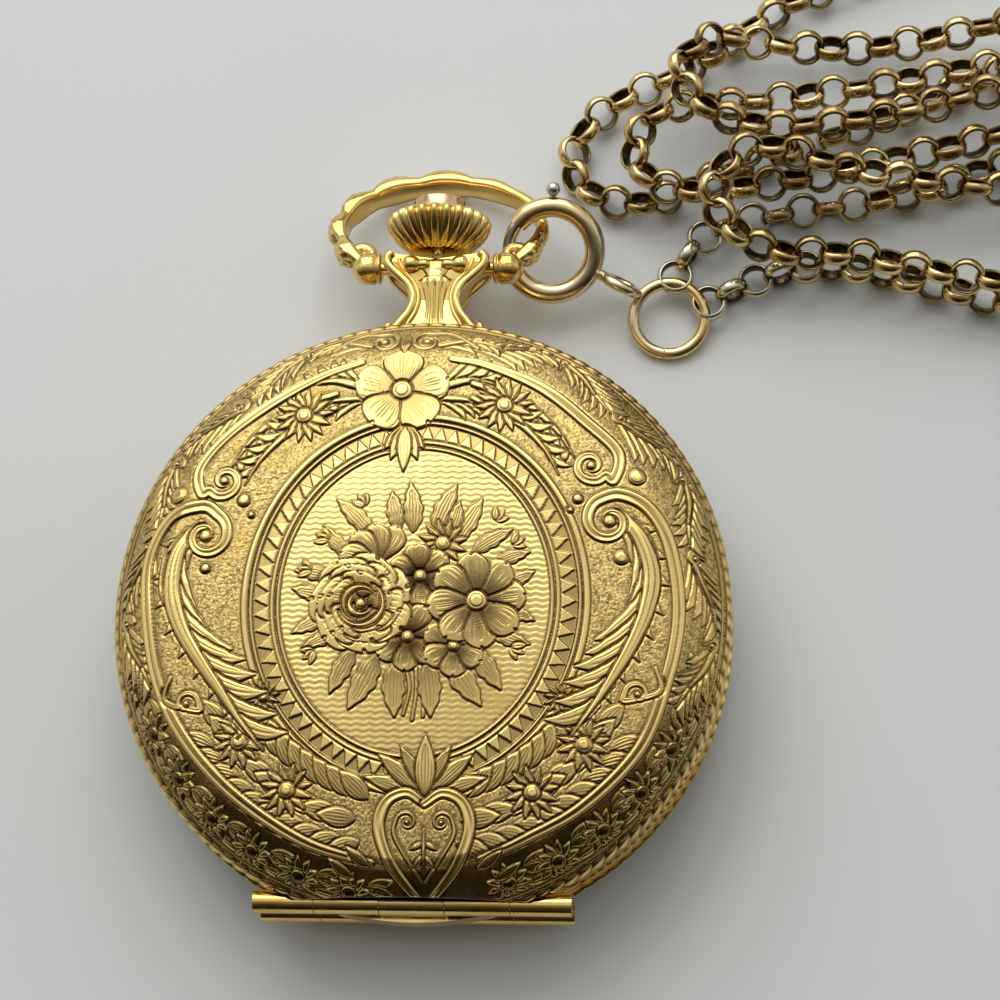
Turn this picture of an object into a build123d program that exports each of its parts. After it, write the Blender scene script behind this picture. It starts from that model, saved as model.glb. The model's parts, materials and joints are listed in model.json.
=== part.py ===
"""A lady's hunter-cased pendant watch on a belcher necklace, lying face up with its cover shut.

Lengths are millimetres. The origin is the centre of the flat on the back that the watch rests on.
X runs across the hinge, Y runs from the hinge to the crown and Z runs up through the front cover.
"""
import math
import os

from build123d import *

# Case
case_radius = 17.5
case_height = 10.4
rest_radius = 7.0
movement_inset = 4.5
movement_radius = case_radius - movement_inset
cover_wall = 0.45
cover_rim = 0.55
front_joint_z = 6.2
back_joint_z = 3.2
joint_gap = 0.05
shoulder_inset = 3.0
front_crown_rise = 1.0
back_crown_rise = 1.15
bevel_bulge = 0.32
band_step = 0.15
band_radius = case_radius - band_step
band_wall = 0.75
lip_wall = 0.3
lip_rise = 0.5
seat_gap = 0.08
flange_low = 4.3
flange_high = 5.1
neck_ring_wall = 0.6
bezel_seat_z = 6.1
overrun = 2.0

# Cover joints
joint_inset = 1.1
joint_reach = case_radius - joint_inset
joint_length = 17.8
knuckle_radius = 0.65
knuckle_gap = 0.05
barrel_clearance = 0.08
pin_radius = 0.3
pin_fit = 0.02
middle_knuckle = 3.6
cover_knuckle = 3.6
leaf_depth = 1.1
band_relief = 0.75

# Catch and lift spring
spring_inset = 1.85
spring_radius = band_radius - spring_inset
spring_thick = 0.3
spring_height = 0.55
spring_floor_gap = 0.02
catch_span = 58.0
catch_width = 1.8
catch_nose = 0.3
catch_nose_height = 0.3
catch_slot_gap = 0.12
lift_span = 84.0
lift_tab = 1.6

# Dial, glass and hands
dial_overlap = 0.1
dial_radius = movement_radius + dial_overlap
dial_low = 5.25
dial_thick = 0.4
dial_hole = 0.95
subdial_radius = 3.1
subdial_depth = 0.12
seconds_hole = 0.3
bezel_reach = 2.2
bezel_outer = movement_radius + bezel_reach
bezel_overlap = 0.4
bezel_lip = dial_radius - bezel_overlap
bezel_height = 1.15
bezel_groove = 0.35
glass_seat = 0.8
glass_radius = bezel_lip + glass_seat
glass_thick = 0.6
glass_edge_z = 6.75
glass_rise = 1.25
hand_thick = 0.14
hand_hub = 0.75
hour_hand_z = 6.0
minute_hand_z = 6.32
seconds_hand_z = 5.75
hour_hand_length = 6.9
minute_hand_length = 10.4
seconds_hand_length = 2.5
hand_width = 0.32
moon_radius = 0.85
moon_wall = 0.22

# Movement
plate_low = 4.25
plate_high = 5.2
ledge_reach = 0.75
ledge_radius = movement_radius + ledge_reach
ledge_thick = 0.24
ledge_wall = 0.9
bridge_low = 1.5
bridge_high = 2.3
bridge_gap = 0.35
bridge_edge_gap = 0.3
motion_recess_radius = 4.6
motion_recess = 0.5
running_fit = 0.04
arbor_radius = 0.22
pivot_radius = 0.1
jewel_radius = 0.5
jewel_fit = 0.01
centre_teeth = 64
third_teeth = 60
fourth_teeth = 60
escape_teeth = 15
barrel_teeth = 80
third_leaves = 8
fourth_leaves = 8
escape_leaves = 6
centre_leaves = 10
centre_radius = 4.4
third_radius = 3.5
fourth_radius = 3.5
escape_radius = 2.2
barrel_radius = 4.4
barrel_low = 2.8
barrel_high = 4.0
barrel_wall = 0.25
barrel_rim = 0.25
mainspring_thick = 0.16
mainspring_turns = 5
mainspring_inner = 1.35
wheel_thick = 0.14
wheel_rim = 0.45
wheel_hub = 0.75
spoke_width = 0.3
centre_wheel_z = 2.42
third_wheel_z = 4.06
fourth_wheel_z = 3.3
escape_wheel_z = 3.75
fourth_y = -6.3
barrel_bearing = 50.0
escape_bearing = 200.0
balance_x = -8.2
balance_y = -1.2
balance_radius = 4.1
balance_rim = 0.4
balance_low = 2.95
balance_thick = 0.5
balance_arm = 0.5
balance_pegs = 12
roller_radius = 0.75
roller_low = 3.62
roller_thick = 0.2
roller_jewel = 0.12
roller_reach = 0.58
hairspring_radius = 2.1
hairspring_inner = 0.6
hairspring_turns = 6
hairspring_thick = 0.07
hairspring_height = 0.16
hairspring_low = 2.55
pallet_reach = 2.75
pallet_thick = 0.2
pallet_z = 3.72

tip_share = 0.7
root_share = 1.1
tip_shares = (-0.11, 0.11)
root_shares = (0.3, 0.7)
barrel_shaft = 0.36
barrel_square = 0.28
cock_foot_bearing = 215.0
pallet_cock_reach = 2.7
pallet_cock_low = 2.65
pallet_cock_thick = 0.48
pallet_stone_reach = 1.35

# Winding
stem_z = 4.4
stem_radius = 0.42
stem_inner_end = 8.3
winding_pinion_radius = 0.8
winding_pinion_length = 1.1
winding_pinion_leaves = 10
crown_wheel_y = 9.2
crown_wheel_teeth = 24
ratchet_teeth = 36
ratchet_radius = 3.7
top_wheel_thick = 0.25
top_wheel_z = 1.22
wheel_screw_radius = 0.7
contrate_radius = 1.5
contrate_teeth = 18
contrate_thick = 0.3
contrate_gap = 0.06
crown_hub = 0.8
click_width = 0.7
click_x = 8.35
click_y = 1.75
click_screw = 0.4

# Pendant neck, crown and bow
neck_sink = 0.3
neck_base_y = case_radius - neck_sink
neck_foot = 2.6
neck_foot_height = 0.9
neck_waist = 1.35
neck_waist_reach = 2.1
neck_waist_y = case_radius + neck_waist_reach
neck_shoulder = 3.2
neck_shoulder_reach = 4.5
neck_shoulder_y = case_radius + neck_shoulder_reach
neck_top_rise = 0.57
neck_top_y = neck_shoulder_y + neck_top_rise
neck_saddle = 0.4
neck_depth = 2.4
neck_waist_depth = 2.1
neck_rib = 0.28
bore_clearance = 0.06
crown_radius = 3.1
crown_base_radius = 1.75
crown_gap = 0.23
crown_base_y = neck_top_y + crown_gap
crown_wide_reach = 2.1
crown_wide_y = crown_base_y + crown_wide_reach
crown_length = 3.0
crown_top_y = crown_base_y + crown_length
crown_top_radius = 2.65
crown_flutes = 24
flute_depth = 0.2
crown_cap_radius = 2.35
crown_cap_height = 1.0
crown_cap_sink = 0.3
bow_pivot_y = neck_shoulder_y
bow_drop = 26.0
bow_ball_inner = 3.35
bow_ball_outer = 5.15
bow_ball_radius = 0.95
bow_inner_half = 5.75
bow_inner_rise = 3.85
bow_centre_v = 3.25
bow_band = 0.8
bow_depth = 1.45
bow_lobes = 13
bow_lobe_rise = 0.28
bow_start = -42.0
bow_pin_radius = 0.38
bow_pin_sink = 1.3
bow_pin_fit = 0.02

# Motion work
cannon_radius = 0.42
cannon_pitch = 0.62
cannon_leaves = 12
minute_teeth = 36
minute_leaves = 10
hour_teeth = 40
minute_bearing = 140.0
motion_thick = 0.2
hour_pipe_radius = 0.72

# Spring ring, jump ring and necklace
clasp_x = 6.7
clasp_lead = 1.6
clasp_z = 3.2
clasp_centre = (clasp_x, bow_pivot_y + clasp_lead, clasp_z)
clasp_tilt = 26.0
clasp_radius = 2.6
clasp_tube = 0.62
clasp_bolt_radius = 0.38
clasp_fit = 0.04
clasp_fit_angle = 2.0
clasp_seat = 200.0
clasp_mouth = 143.0
clasp_slot_end = 40.0
bolt_tail = 74.0
trigger_bearing = 88.0
trigger_stem = 0.2
trigger_ball = 0.42
tail_bearing = -27.0
tail_length = 0.45
eye_radius = 1.0
eye_wire = 0.33
jump_x = 13.7
jump_back = 1.9
jump_z = 0.82
jump_centre = (jump_x, bow_pivot_y - jump_back, jump_z)
jump_radius = 2.15
jump_wire = 0.36
jump_tilt = 11.3
jump_split = 262.0
jump_gap = 2.0
first_link_bearing = 84.0
last_link_bearing = 20.0
link_length = 2.2
link_breadth = 2.26
link_corner = 0.56
link_wall = 0.25
link_width = 0.62
link_pitch = 1.56
link_start = 0.42
link_lean = 45.0
lean_links = 12
route_share = 0.45
strand_count = 8
heap_points = [
    (15.0, 25.2, 1.2), (19.5, 26.6, 1.1), (28.0, 27.6, 1.1), (37.0, 31.0, 1.1), (46.0, 33.4, 1.1),
    (54.0, 35.2, 1.1), (59.5, 38.8, 1.1), (58.5, 44.2, 1.1), (51.5, 43.6, 1.1), (43.5, 41.0, 1.1),
    (34.0, 36.0, 1.1), (25.0, 32.2, 1.1), (16.5, 29.2, 1.1), (11.2, 26.8, 1.1), (7.1, 29.2, 1.1),
    (8.9, 33.6, 1.1), (14.5, 36.0, 1.1), (20.5, 40.6, 1.1), (29.0, 44.2, 1.1), (39.0, 47.6, 1.1),
    (48.0, 49.8, 1.1), (56.0, 50.2, 1.4), (61.5, 46.8, 2.4), (59.0, 40.8, 3.6), (51.5, 38.6, 1.6),
    (44.0, 36.6, 1.9), (34.5, 35.6, 3.4), (25.0, 33.8, 3.3), (17.5, 33.4, 2.2), (13.2, 33.2, 3.0),
    (11.0, 30.0, 3.3), (13.5, 26.9, 3.3), (21.5, 28.0, 3.3), (30.0, 29.8, 3.3), (39.5, 32.6, 3.3),
    (47.5, 33.4, 3.3), (55.0, 33.6, 3.3), (60.5, 35.4, 3.5), (61.0, 40.6, 5.5), (54.5, 42.6, 5.2),
    (46.0, 41.6, 3.5), (36.5, 38.9, 3.3), (27.5, 37.4, 1.3), (20.5, 37.2, 2.1), (15.6, 37.4, 4.1),
    (13.8, 33.5, 5.4), (18.0, 30.8, 4.3), (26.5, 31.4, 4.4), (35.0, 33.5, 5.2), (44.0, 33.2, 5.5),
    (52.5, 32.2, 5.5), (58.5, 30.0, 3.7), (58.0, 24.8, 3.1), (52.0, 22.4, 3.5), (45.0, 21.3, 3.3),
    (38.5, 21.0, 3.3), (33.0, 21.4, 3.3), (28.0, 22.4, 3.3), (24.0, 23.4, 3.3), (19.6, 23.0, 3.6),
    (15.6, 25.8, 5.4), (18.4, 29.8, 5.9), (24.0, 27.8, 5.5), (30.0, 27.2, 4.4), (36.5, 27.6, 2.0),
    (43.0, 28.2, 1.1), (49.5, 28.4, 1.1), (55.0, 26.0, 1.1), (54.5, 20.8, 1.1), (48.0, 19.4, 1.1),
    (41.5, 19.6, 1.1), (34.5, 20.6, 1.1), (28.5, 22.4, 1.1), (22.8, 23.6, 1.1), (18.6, 22.4, 1.1),
]

# Fasteners
screw_radius = 0.55
screw_head = 0.3
screw_slot = 0.14
screw_shank = 0.28


def polar(radius, bearing, x=0.0, y=0.0):
    """Give the point at a radius and a bearing in degrees about a centre."""
    angle = math.radians(bearing)
    return (x + radius * math.cos(angle), y + radius * math.sin(angle))


def post(radius, low, high, x=0.0, y=0.0):
    """Stand a round bar between two heights."""
    return Pos(x, y, (low + high) / 2) * Cylinder(radius, high - low)


def pipe(outer, inner, low, high, x=0.0, y=0.0):
    """Stand a tube between two heights."""
    return post(outer, low, high, x, y) - post(inner, low - overrun, high + overrun, x, y)


def block(x0, x1, y0, y1, z0, z1):
    """Fill the box between two corners."""
    middle = Pos((x0 + x1) / 2, (y0 + y1) / 2, (z0 + z1) / 2)
    return middle * Box(x1 - x0, y1 - y0, z1 - z0)


def bar_x(radius, x0, x1, y, z):
    """Lay a round bar along X."""
    return Pos((x0 + x1) / 2, y, z) * Rot(0, 90, 0) * Cylinder(radius, x1 - x0)


def bar_y(radius, y0, y1, x, z):
    """Lay a round bar along Y."""
    return Pos(x, (y0 + y1) / 2, z) * Rot(90, 0, 0) * Cylinder(radius, y1 - y0)


def prism(points, low, high):
    """Raise a closed outline of straight sides between two heights."""
    face = make_face(Polyline(*points, close=True))
    return Pos(0, 0, low) * extrude(face, high - low)


def spun(edges):
    """Turn a closed outline of (radius, height) edges about Z."""
    return revolve(make_face(Plane.XZ * (Curve() + edges)), Axis.Z)


def bulged(start, end, bulge):
    """Draw an arc whose middle stands out to the left of the line from start to end."""
    dx = end[0] - start[0]
    dy = end[1] - start[1]
    reach = math.hypot(dx, dy)
    middle = ((start[0] + end[0]) / 2 - dy / reach * bulge, (start[1] + end[1]) / 2 + dx / reach * bulge)
    return ThreePointArc(start, middle, end)


def sag_bulge(half_span, rise):
    """Give the bulge of the arc from a dome's edge to its top, level at the top."""
    radius = (half_span ** 2 + rise ** 2) / (2 * rise)
    chord = math.hypot(half_span, rise)
    return radius - math.sqrt(radius ** 2 - (chord / 2) ** 2)


def joined(shapes):
    """Fuse a list of shapes into one."""
    whole = shapes[0]
    for shape in shapes[1:]:
        whole = whole + shape
    return whole


def cover_body(rim_z, top_z, shoulder_z, flat_radius, inset):
    """Fill a cover's shape, moved in by an inset, from its rim or from beyond it."""
    side = 1 if top_z > rim_z else -1
    rim_radius = case_radius - inset
    start_z = rim_z - side * overrun if inset > 0 else rim_z
    shoulder = (case_radius - shoulder_inset - inset * 0.6, shoulder_z - side * inset * 0.9)
    lip = (rim_radius, rim_z + side * cover_rim)
    top = (flat_radius, top_z - side * inset)
    rise = abs(top[1] - shoulder[1])
    edges = [Line((rim_radius, start_z), lip), bulged(lip, shoulder, -side * bevel_bulge)]
    edges.append(bulged(shoulder, top, -side * sag_bulge(shoulder[0] - flat_radius, rise)))
    if flat_radius > 0:
        edges.append(Line(top, (0, top[1])))
    edges.append(Line((0, top[1]), (0, start_z)))
    edges.append(Line((0, start_z), (rim_radius, start_z)))
    return spun(edges)


def knuckle_ends():
    """Give the ends of the knuckles on the positive side, from the middle one outwards."""
    first = middle_knuckle / 2
    second = first + knuckle_gap
    third = second + cover_knuckle
    return first, second, third, third + knuckle_gap, joint_length / 2


def knuckles(axis_z, on_cover):
    """Make the knuckles of one cover joint that belong to the cover or to the band."""
    first, second, third, fourth, last = knuckle_ends()
    if on_cover:
        spans = [(second, third), (-third, -second)]
    else:
        spans = [(-first, first), (fourth, last), (-last, -fourth)]
    return [bar_x(knuckle_radius, low, high, -joint_reach, axis_z) for low, high in spans]


def joint_bore(axis_z):
    """Give the bore that the joint's pin runs in."""
    reach = joint_length / 2 + overrun
    return bar_x(pin_radius + pin_fit, -reach, reach, -joint_reach, axis_z)


def hinged_cover(axis_z, rim_z, top_z, shoulder_z, flat_radius):
    """Make a domed cover with its seat trimmed at the joint and its own knuckles."""
    side = 1 if top_z > rim_z else -1
    full = cover_body(rim_z, top_z, shoulder_z, flat_radius, 0)
    hollow = cover_body(rim_z, top_z, shoulder_z, flat_radius, cover_wall)
    shell = full - hollow
    reach = knuckle_ends()[3]
    leaf_z = sorted((rim_z, axis_z + side * overrun))
    leaf = block(-reach, reach, -joint_reach, leaf_depth - joint_reach, leaf_z[0], leaf_z[1])
    shell = shell + (full & leaf)
    size = case_radius + overrun
    shell = shell - block(-size, size, -size, -joint_reach, axis_z - size, axis_z + size)
    half = joint_length / 2 + knuckle_gap
    shell = shell - bar_x(knuckle_radius + barrel_clearance, -half, half, -joint_reach, axis_z)
    filled = []
    first, second, third, fourth, last = knuckle_ends()
    for low, high in ((second, third), (-third, -second)):
        web = block(low, high, -joint_reach, leaf_depth - joint_reach, leaf_z[0], leaf_z[1])
        filled.append(full & web)
    shell = joined([shell] + filled + knuckles(axis_z, True))
    return shell - joint_bore(axis_z)


def front_cover():
    """Make the domed hunter cover with a notch for the catch."""
    rim_z = front_joint_z + joint_gap
    shoulder_z = case_height - front_crown_rise
    shell = hinged_cover(front_joint_z, rim_z, case_height, shoulder_z, 0)
    return shell - catch_notch()


def back_cover():
    """Make the back cover with the flat that the watch rests on."""
    rim_z = back_joint_z - joint_gap
    return hinged_cover(back_joint_z, rim_z, 0, back_crown_rise, rest_radius)


def catch_levels():
    """Give the low and high face of the catch's nose."""
    low = front_joint_z + joint_gap + lip_rise * 0.5
    return low, low + catch_nose_height


def catch_notch():
    """Give the notch in the cover's wall that the catch's nose holds."""
    low, high = catch_levels()
    half = catch_width / 2 + catch_slot_gap
    deep = case_radius - cover_wall + catch_nose + catch_slot_gap / 2
    return block(-half, half, spring_radius, deep, low - catch_slot_gap, high + catch_slot_gap)


def case_band():
    """Make the band that carries the movement, both joints, the neck and the springs."""
    low = back_joint_z + joint_gap
    high = front_joint_z - joint_gap
    inner = band_radius - band_wall
    bore = movement_radius + seat_gap * 2
    lip_outer = case_radius - cover_wall - seat_gap
    band = pipe(band_radius, inner, low, high)
    band = band + pipe(inner + lip_wall, bore, flange_low, flange_high)
    band = band + pipe(lip_outer, inner, low - lip_rise, high + lip_rise)
    band = band + pipe(bore + neck_ring_wall, bore, flange_low, bezel_seat_z)
    size = case_radius + overrun
    near = leaf_depth + cover_wall - joint_reach
    band = band - block(-size, size, -size, near, high, size)
    band = band - block(-size, size, -size, near, -size, low)
    half = joint_length / 2 + knuckle_gap
    clear = knuckle_radius + barrel_clearance
    for axis_z, side in ((front_joint_z, 1), (back_joint_z, -1)):
        band = band - bar_x(clear, -half, half, -joint_reach, axis_z)
        far = sorted((axis_z - side * band_relief, axis_z + side * size))
        band = band - block(-size, size, -size, -joint_reach, far[0], far[1])
    carriers = []
    first, second, third, fourth, last = knuckle_ends()
    for axis_z, side in ((front_joint_z, 1), (back_joint_z, -1)):
        depth = sorted((axis_z - side * knuckle_radius / 2, axis_z - side * (knuckle_radius + band_wall)))
        carriers.append(block(-first, first, -inner - band_wall / 2, -joint_reach, depth[0], depth[1]))
        for end in (1, -1):
            span = sorted((end * fourth, end * (fourth + band_wall * 2)))
            near_y = band_wall - joint_reach
            carriers.append(block(span[0], span[1], -joint_reach, near_y, depth[0], depth[1]))
        carriers = carriers + knuckles(axis_z, False)
    band = joined([band] + carriers)
    for axis_z in (front_joint_z, back_joint_z):
        band = band - joint_bore(axis_z)
    band = band - bar_y(stem_radius + bore_clearance, 0, size, 0, stem_z)
    half = catch_width / 2 + catch_slot_gap
    slot_low = spring_level()[0]
    return band - block(-half, half, spring_radius, band_radius - lip_wall, slot_low, size)


def joint_pin(axis_z):
    """Make the pin through one cover joint."""
    half = joint_length / 2
    return bar_x(pin_radius, -half, half, -joint_reach, axis_z)


def spring_level():
    """Give the low and high edge of the two springs in the band."""
    low = flange_high + spring_floor_gap
    return low, low + spring_height


def curved_strip(middle, span, low, high):
    """Make a strip that follows the band round from one bearing to another."""
    outer = spring_radius + spring_thick
    ring = pipe(outer, spring_radius, low, high)
    size = outer + overrun
    first = polar(size, middle - span / 2)
    last = polar(size, middle + span / 2)
    corners = [(0, 0), first, polar(size * 2, middle), last]
    return ring & prism(corners, low - overrun, high + overrun)


def lock_spring():
    """Make the springy catch: a strip in the band with a nose that holds the front cover."""
    low, high = spring_level()
    strip = curved_strip(90 + catch_span / 4, catch_span, low, high)
    nose_low, nose_high = catch_levels()
    half = catch_width / 2
    reach = case_radius - cover_wall + catch_nose - catch_slot_gap
    root = spring_radius + spring_thick / 3
    tongue = block(-half, half, root, spring_radius + spring_thick, low, nose_high)
    nose = block(-half, half, root, reach, nose_low, nose_high)
    return strip + tongue + nose


def lift_spring():
    """Make the spring that pushes the front cover open, at the joint's side of the band."""
    low, high = spring_level()
    strip = curved_strip(270 - lift_span / 4, lift_span, low, high)
    half = lift_tab / 2
    clear_radius = knuckle_radius + barrel_clearance
    clear = bar_x(clear_radius, -case_radius, case_radius, -joint_reach, front_joint_z)
    outer_y = -spring_radius - spring_thick / 3
    inner_y = spring_thick / 2 - spring_radius
    tab = block(-half, half, outer_y, inner_y, low, front_joint_z)
    return strip - clear + tab


def dial():
    """Make the dial with its middle hole and sunk seconds ring."""
    top = dial_low + dial_thick
    plate = pipe(dial_radius, dial_hole, dial_low, top)
    sink = post(subdial_radius, top - subdial_depth, top + overrun, 0, fourth_y)
    hole = post(seconds_hole, dial_low - overrun, top + overrun, 0, fourth_y)
    return plate - sink - hole


def bezel():
    """Make the snap bezel that holds the glass over the dial."""
    bore = movement_radius + seat_gap * 2
    seat = bore + neck_ring_wall + seat_gap
    low = bezel_seat_z - bezel_height / 3
    high = bezel_seat_z + bezel_height
    top_outer = bezel_outer - bezel_height / 2
    under = bezel_seat_z + seat_gap
    points = [(seat, low), (bezel_outer, low), (bezel_outer, bezel_seat_z), (top_outer, high)]
    points = points + [(bezel_lip, high), (bezel_lip, under), (seat, under)]
    ring = revolve(make_face(Plane.XZ * Polyline(*points, close=True)), Axis.Z)
    groove_low = glass_edge_z - seat_gap
    return ring - post(glass_radius + seat_gap / 2, groove_low, glass_edge_z + bezel_groove)


def crystal():
    """Make the domed glass."""
    edge = glass_edge_z
    rim_top = edge + bezel_groove - seat_gap
    inner = bezel_lip - seat_gap / 2
    outer_top = rim_top + glass_rise
    under_top = outer_top - glass_thick
    edges = [Line((glass_radius, edge), (glass_radius, rim_top))]
    edges.append(Line((glass_radius, rim_top), (inner, rim_top)))
    edges.append(bulged((inner, rim_top), (0, outer_top), -sag_bulge(inner, glass_rise)))
    edges.append(Line((0, outer_top), (0, under_top)))
    edges.append(bulged((0, under_top), (inner - glass_thick, edge), sag_bulge(inner, under_top - edge)))
    edges.append(Line((inner - glass_thick, edge), (glass_radius, edge)))
    return spun(edges)


def hand(length, low, hub, hole, x=0.0, y=0.0, moon=True):
    """Make one hand: a hub, a thin tapering blade and an open moon near the tip."""
    high = low + hand_thick
    half = hand_width / 2
    tip = half / 4
    left = x - half
    right = x + half
    end_y = y + length
    tail_y = y - hub * 2
    blade = prism([(left, y), (right, y), (x + tip, end_y), (x - tip, end_y)], low, high)
    tail = prism([(left, y), (right, y), (right, tail_y), (left, tail_y)], low, high)
    whole = blade + post(hub, low, high, x, y)
    if moon:
        moon_y = y + length * 0.68
        whole = whole + post(moon_radius, low, high, x, moon_y)
        hole_y = moon_y + moon_wall / 3
        whole = whole - post(moon_radius - moon_wall, low - overrun, high + overrun, x, hole_y)
    else:
        whole = whole + tail
    return whole - post(hole, low - overrun, high + overrun, x, y)


def seconds_hand():
    """Make the small seconds hand with its counterpoise tail."""
    return hand(seconds_hand_length, seconds_hand_z, hand_hub / 2, pivot_radius, 0, fourth_y, False)


def gear_outline(teeth, pitch_radius, turn, x, y):
    """Give the outline of a gear with straight-sided teeth."""
    module = 2 * pitch_radius / teeth
    step = 360 / teeth
    points = []
    for index in range(teeth):
        bearing = turn + index * step
        for share in tip_shares:
            points.append(polar(pitch_radius + module * tip_share, bearing + share * step, x, y))
        for share in root_shares:
            points.append(polar(pitch_radius - module * root_share, bearing + share * step, x, y))
    return points


def fine_outline(teeth, pitch_radius, turn, x, y):
    """Give the outline of a fine-pitch wheel with pointed teeth."""
    module = 2 * pitch_radius / teeth
    step = 360 / teeth
    points = []
    for index in range(teeth):
        bearing = turn + index * step
        points.append(polar(pitch_radius + module * tip_share, bearing, x, y))
        points.append(polar(pitch_radius - module * root_share, bearing + step / 2, x, y))
    return points


def windows(outer, inner, spokes, low, high, x, y):
    """Give the openings between a wheel's spokes."""
    ring = pipe(outer, inner, low - overrun, high + overrun, x, y)
    half = spoke_width / 2
    for index in range(spokes):
        arm = block(0, outer + overrun, -half, half, low - overrun * 2, high + overrun * 2)
        ring = ring - Pos(x, y, 0) * Rot(0, 0, index * 360 / spokes) * arm
    return ring


def train_wheel(teeth, radius, wheel_z, leaves, leaf_radius, leaf_span, ends, x, y, turns):
    """Make a wheel with crossed-out spokes, its pinion and its pivoted arbor."""
    high = wheel_z + wheel_thick
    disc = prism(fine_outline(teeth, radius, turns[0], x, y), wheel_z, high)
    disc = disc - windows(radius - wheel_rim, wheel_hub, 4, wheel_z, high, x, y)
    pinion = prism(gear_outline(leaves, leaf_radius, turns[1], x, y), leaf_span[0], leaf_span[1])
    low = min(leaf_span[0], wheel_z)
    top = max(leaf_span[1], high)
    arbor = post(arbor_radius, low, top, x, y)
    pivots = post(pivot_radius, ends[0], ends[1], x, y)
    return disc + pinion + arbor + pivots


def barrel_place():
    """Give the barrel's centre."""
    distance = barrel_radius + barrel_radius * centre_leaves / barrel_teeth
    return polar(distance, barrel_bearing)


def third_place():
    """Give the third wheel's centre, in mesh with the centre wheel and the fourth pinion."""
    to_centre = centre_radius * (1 + third_leaves / centre_teeth)
    to_fourth = third_radius * (1 + fourth_leaves / third_teeth)
    y = (to_centre ** 2 - to_fourth ** 2 + fourth_y ** 2) / (2 * fourth_y)
    return (math.sqrt(to_centre ** 2 - y ** 2), y)


def escape_place():
    """Give the escape wheel's centre, in mesh with the fourth wheel."""
    return polar(fourth_radius * (1 + escape_leaves / fourth_teeth), escape_bearing, 0, fourth_y)


def pallet_place():
    """Give the pallet arbor's centre, between the escape wheel and the balance."""
    x, y = escape_place()
    reach = math.hypot(balance_x - x, balance_y - y)
    return (x + (balance_x - x) * pallet_reach / reach, y + (balance_y - y) * pallet_reach / reach)


def pivot_ends():
    """Give the heights where the train's pivots end."""
    return bridge_low + (bridge_high - bridge_low) / 2, plate_low + (plate_high - plate_low) / 3


def train_places():
    """List the centres of the pieces that run in jewels."""
    return [third_place(), (0, fourth_y), escape_place(), pallet_place(), (balance_x, balance_y)]


def bearing_to(start, end):
    """Give the bearing in degrees from one point to another."""
    return math.degrees(math.atan2(end[1] - start[1], end[0] - start[0]))


def centre_wheel():
    """Make the centre wheel, which turns once an hour and carries the minute hand."""
    leaf_radius = barrel_radius * centre_leaves / barrel_teeth
    span = (centre_wheel_z, barrel_high)
    ends = (pivot_ends()[0], minute_hand_z)
    turns = (bearing_to((0, 0), third_place()), barrel_bearing + 180 / centre_leaves)
    wheel = train_wheel(centre_teeth, centre_radius, centre_wheel_z, centre_leaves, leaf_radius,
                        span, ends, 0, 0, turns)
    return wheel + post(arbor_radius, centre_wheel_z, minute_hand_z + hand_thick)


def third_wheel():
    """Make the third wheel and its pinion."""
    x, y = third_place()
    leaf_radius = centre_radius * third_leaves / centre_teeth
    span = (centre_wheel_z - wheel_thick / 2, third_wheel_z)
    turns = (bearing_to((x, y), (0, fourth_y)), bearing_to((x, y), (0, 0)) + 180 / third_leaves)
    return train_wheel(third_teeth, third_radius, third_wheel_z, third_leaves, leaf_radius,
                       span, pivot_ends(), x, y, turns)


def fourth_wheel():
    """Make the fourth wheel, which turns once a minute and carries the seconds hand."""
    leaf_radius = third_radius * fourth_leaves / third_teeth
    span = (fourth_wheel_z, third_wheel_z + wheel_thick)
    ends = (pivot_ends()[0], seconds_hand_z + hand_thick)
    centre = (0, fourth_y)
    turns = (escape_bearing, bearing_to(centre, third_place()) + 180 / fourth_leaves)
    return train_wheel(fourth_teeth, fourth_radius, fourth_wheel_z, fourth_leaves, leaf_radius,
                       span, ends, 0, fourth_y, turns)


def escape_wheel():
    """Make the escape wheel with its fifteen raked teeth."""
    x, y = escape_place()
    low = escape_wheel_z
    high = low + wheel_thick
    step = 360 / escape_teeth
    points = []
    for index in range(escape_teeth):
        bearing = index * step
        points.append(polar(escape_radius, bearing, x, y))
        points.append(polar(escape_radius, bearing + step * 0.14, x, y))
        points.append(polar(escape_radius * 0.74, bearing + step * 0.52, x, y))
        points.append(polar(escape_radius * 0.74, bearing + step * 0.85, x, y))
    disc = prism(points, low, high) - windows(escape_radius * 0.62, wheel_hub / 2, 4, low, high, x, y)
    leaf_radius = fourth_radius * escape_leaves / fourth_teeth
    turn = escape_bearing + 180 + 180 / escape_leaves
    pinion = prism(gear_outline(escape_leaves, leaf_radius, turn, x, y), fourth_wheel_z - wheel_thick, low)
    arbor = post(pivot_radius, pivot_ends()[0], pivot_ends()[1], x, y)
    return disc + pinion + arbor


def pallet_fork():
    """Make the pallet fork: two arms to the escape wheel and a fork to the balance."""
    x, y = pallet_place()
    low = pallet_z
    high = low + pallet_thick
    bearing = math.degrees(math.atan2(balance_y - y, balance_x - x))
    reach = math.hypot(balance_x - x, balance_y - y)
    length = reach - roller_radius * 0.8
    half = arbor_radius
    lever = block(0, length, -half / 2, half / 2, low, high)
    fork_outer = block(length - half * 2, length + half, -half * 2, half * 2, low, high)
    slot = roller_jewel * 1.4
    lever = lever + fork_outer - block(length - half, length + half * 2, -slot, slot, 0, high + overrun)
    span = escape_radius * 0.86
    arms = block(-half * 2, 0, -span, span, low, high)
    stones = []
    for middle in (-span, span):
        stones.append(block(-pallet_stone_reach, -half, middle - half / 2, middle + half / 2, low, high))
    shape = joined([lever, arms] + stones + [post(arbor_radius * 1.5, low, high)])
    shape = Pos(x, y, 0) * Rot(0, 0, bearing) * shape
    return shape + post(pivot_radius, pallet_cock_low + running_fit, pivot_ends()[1], x, y)


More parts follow.
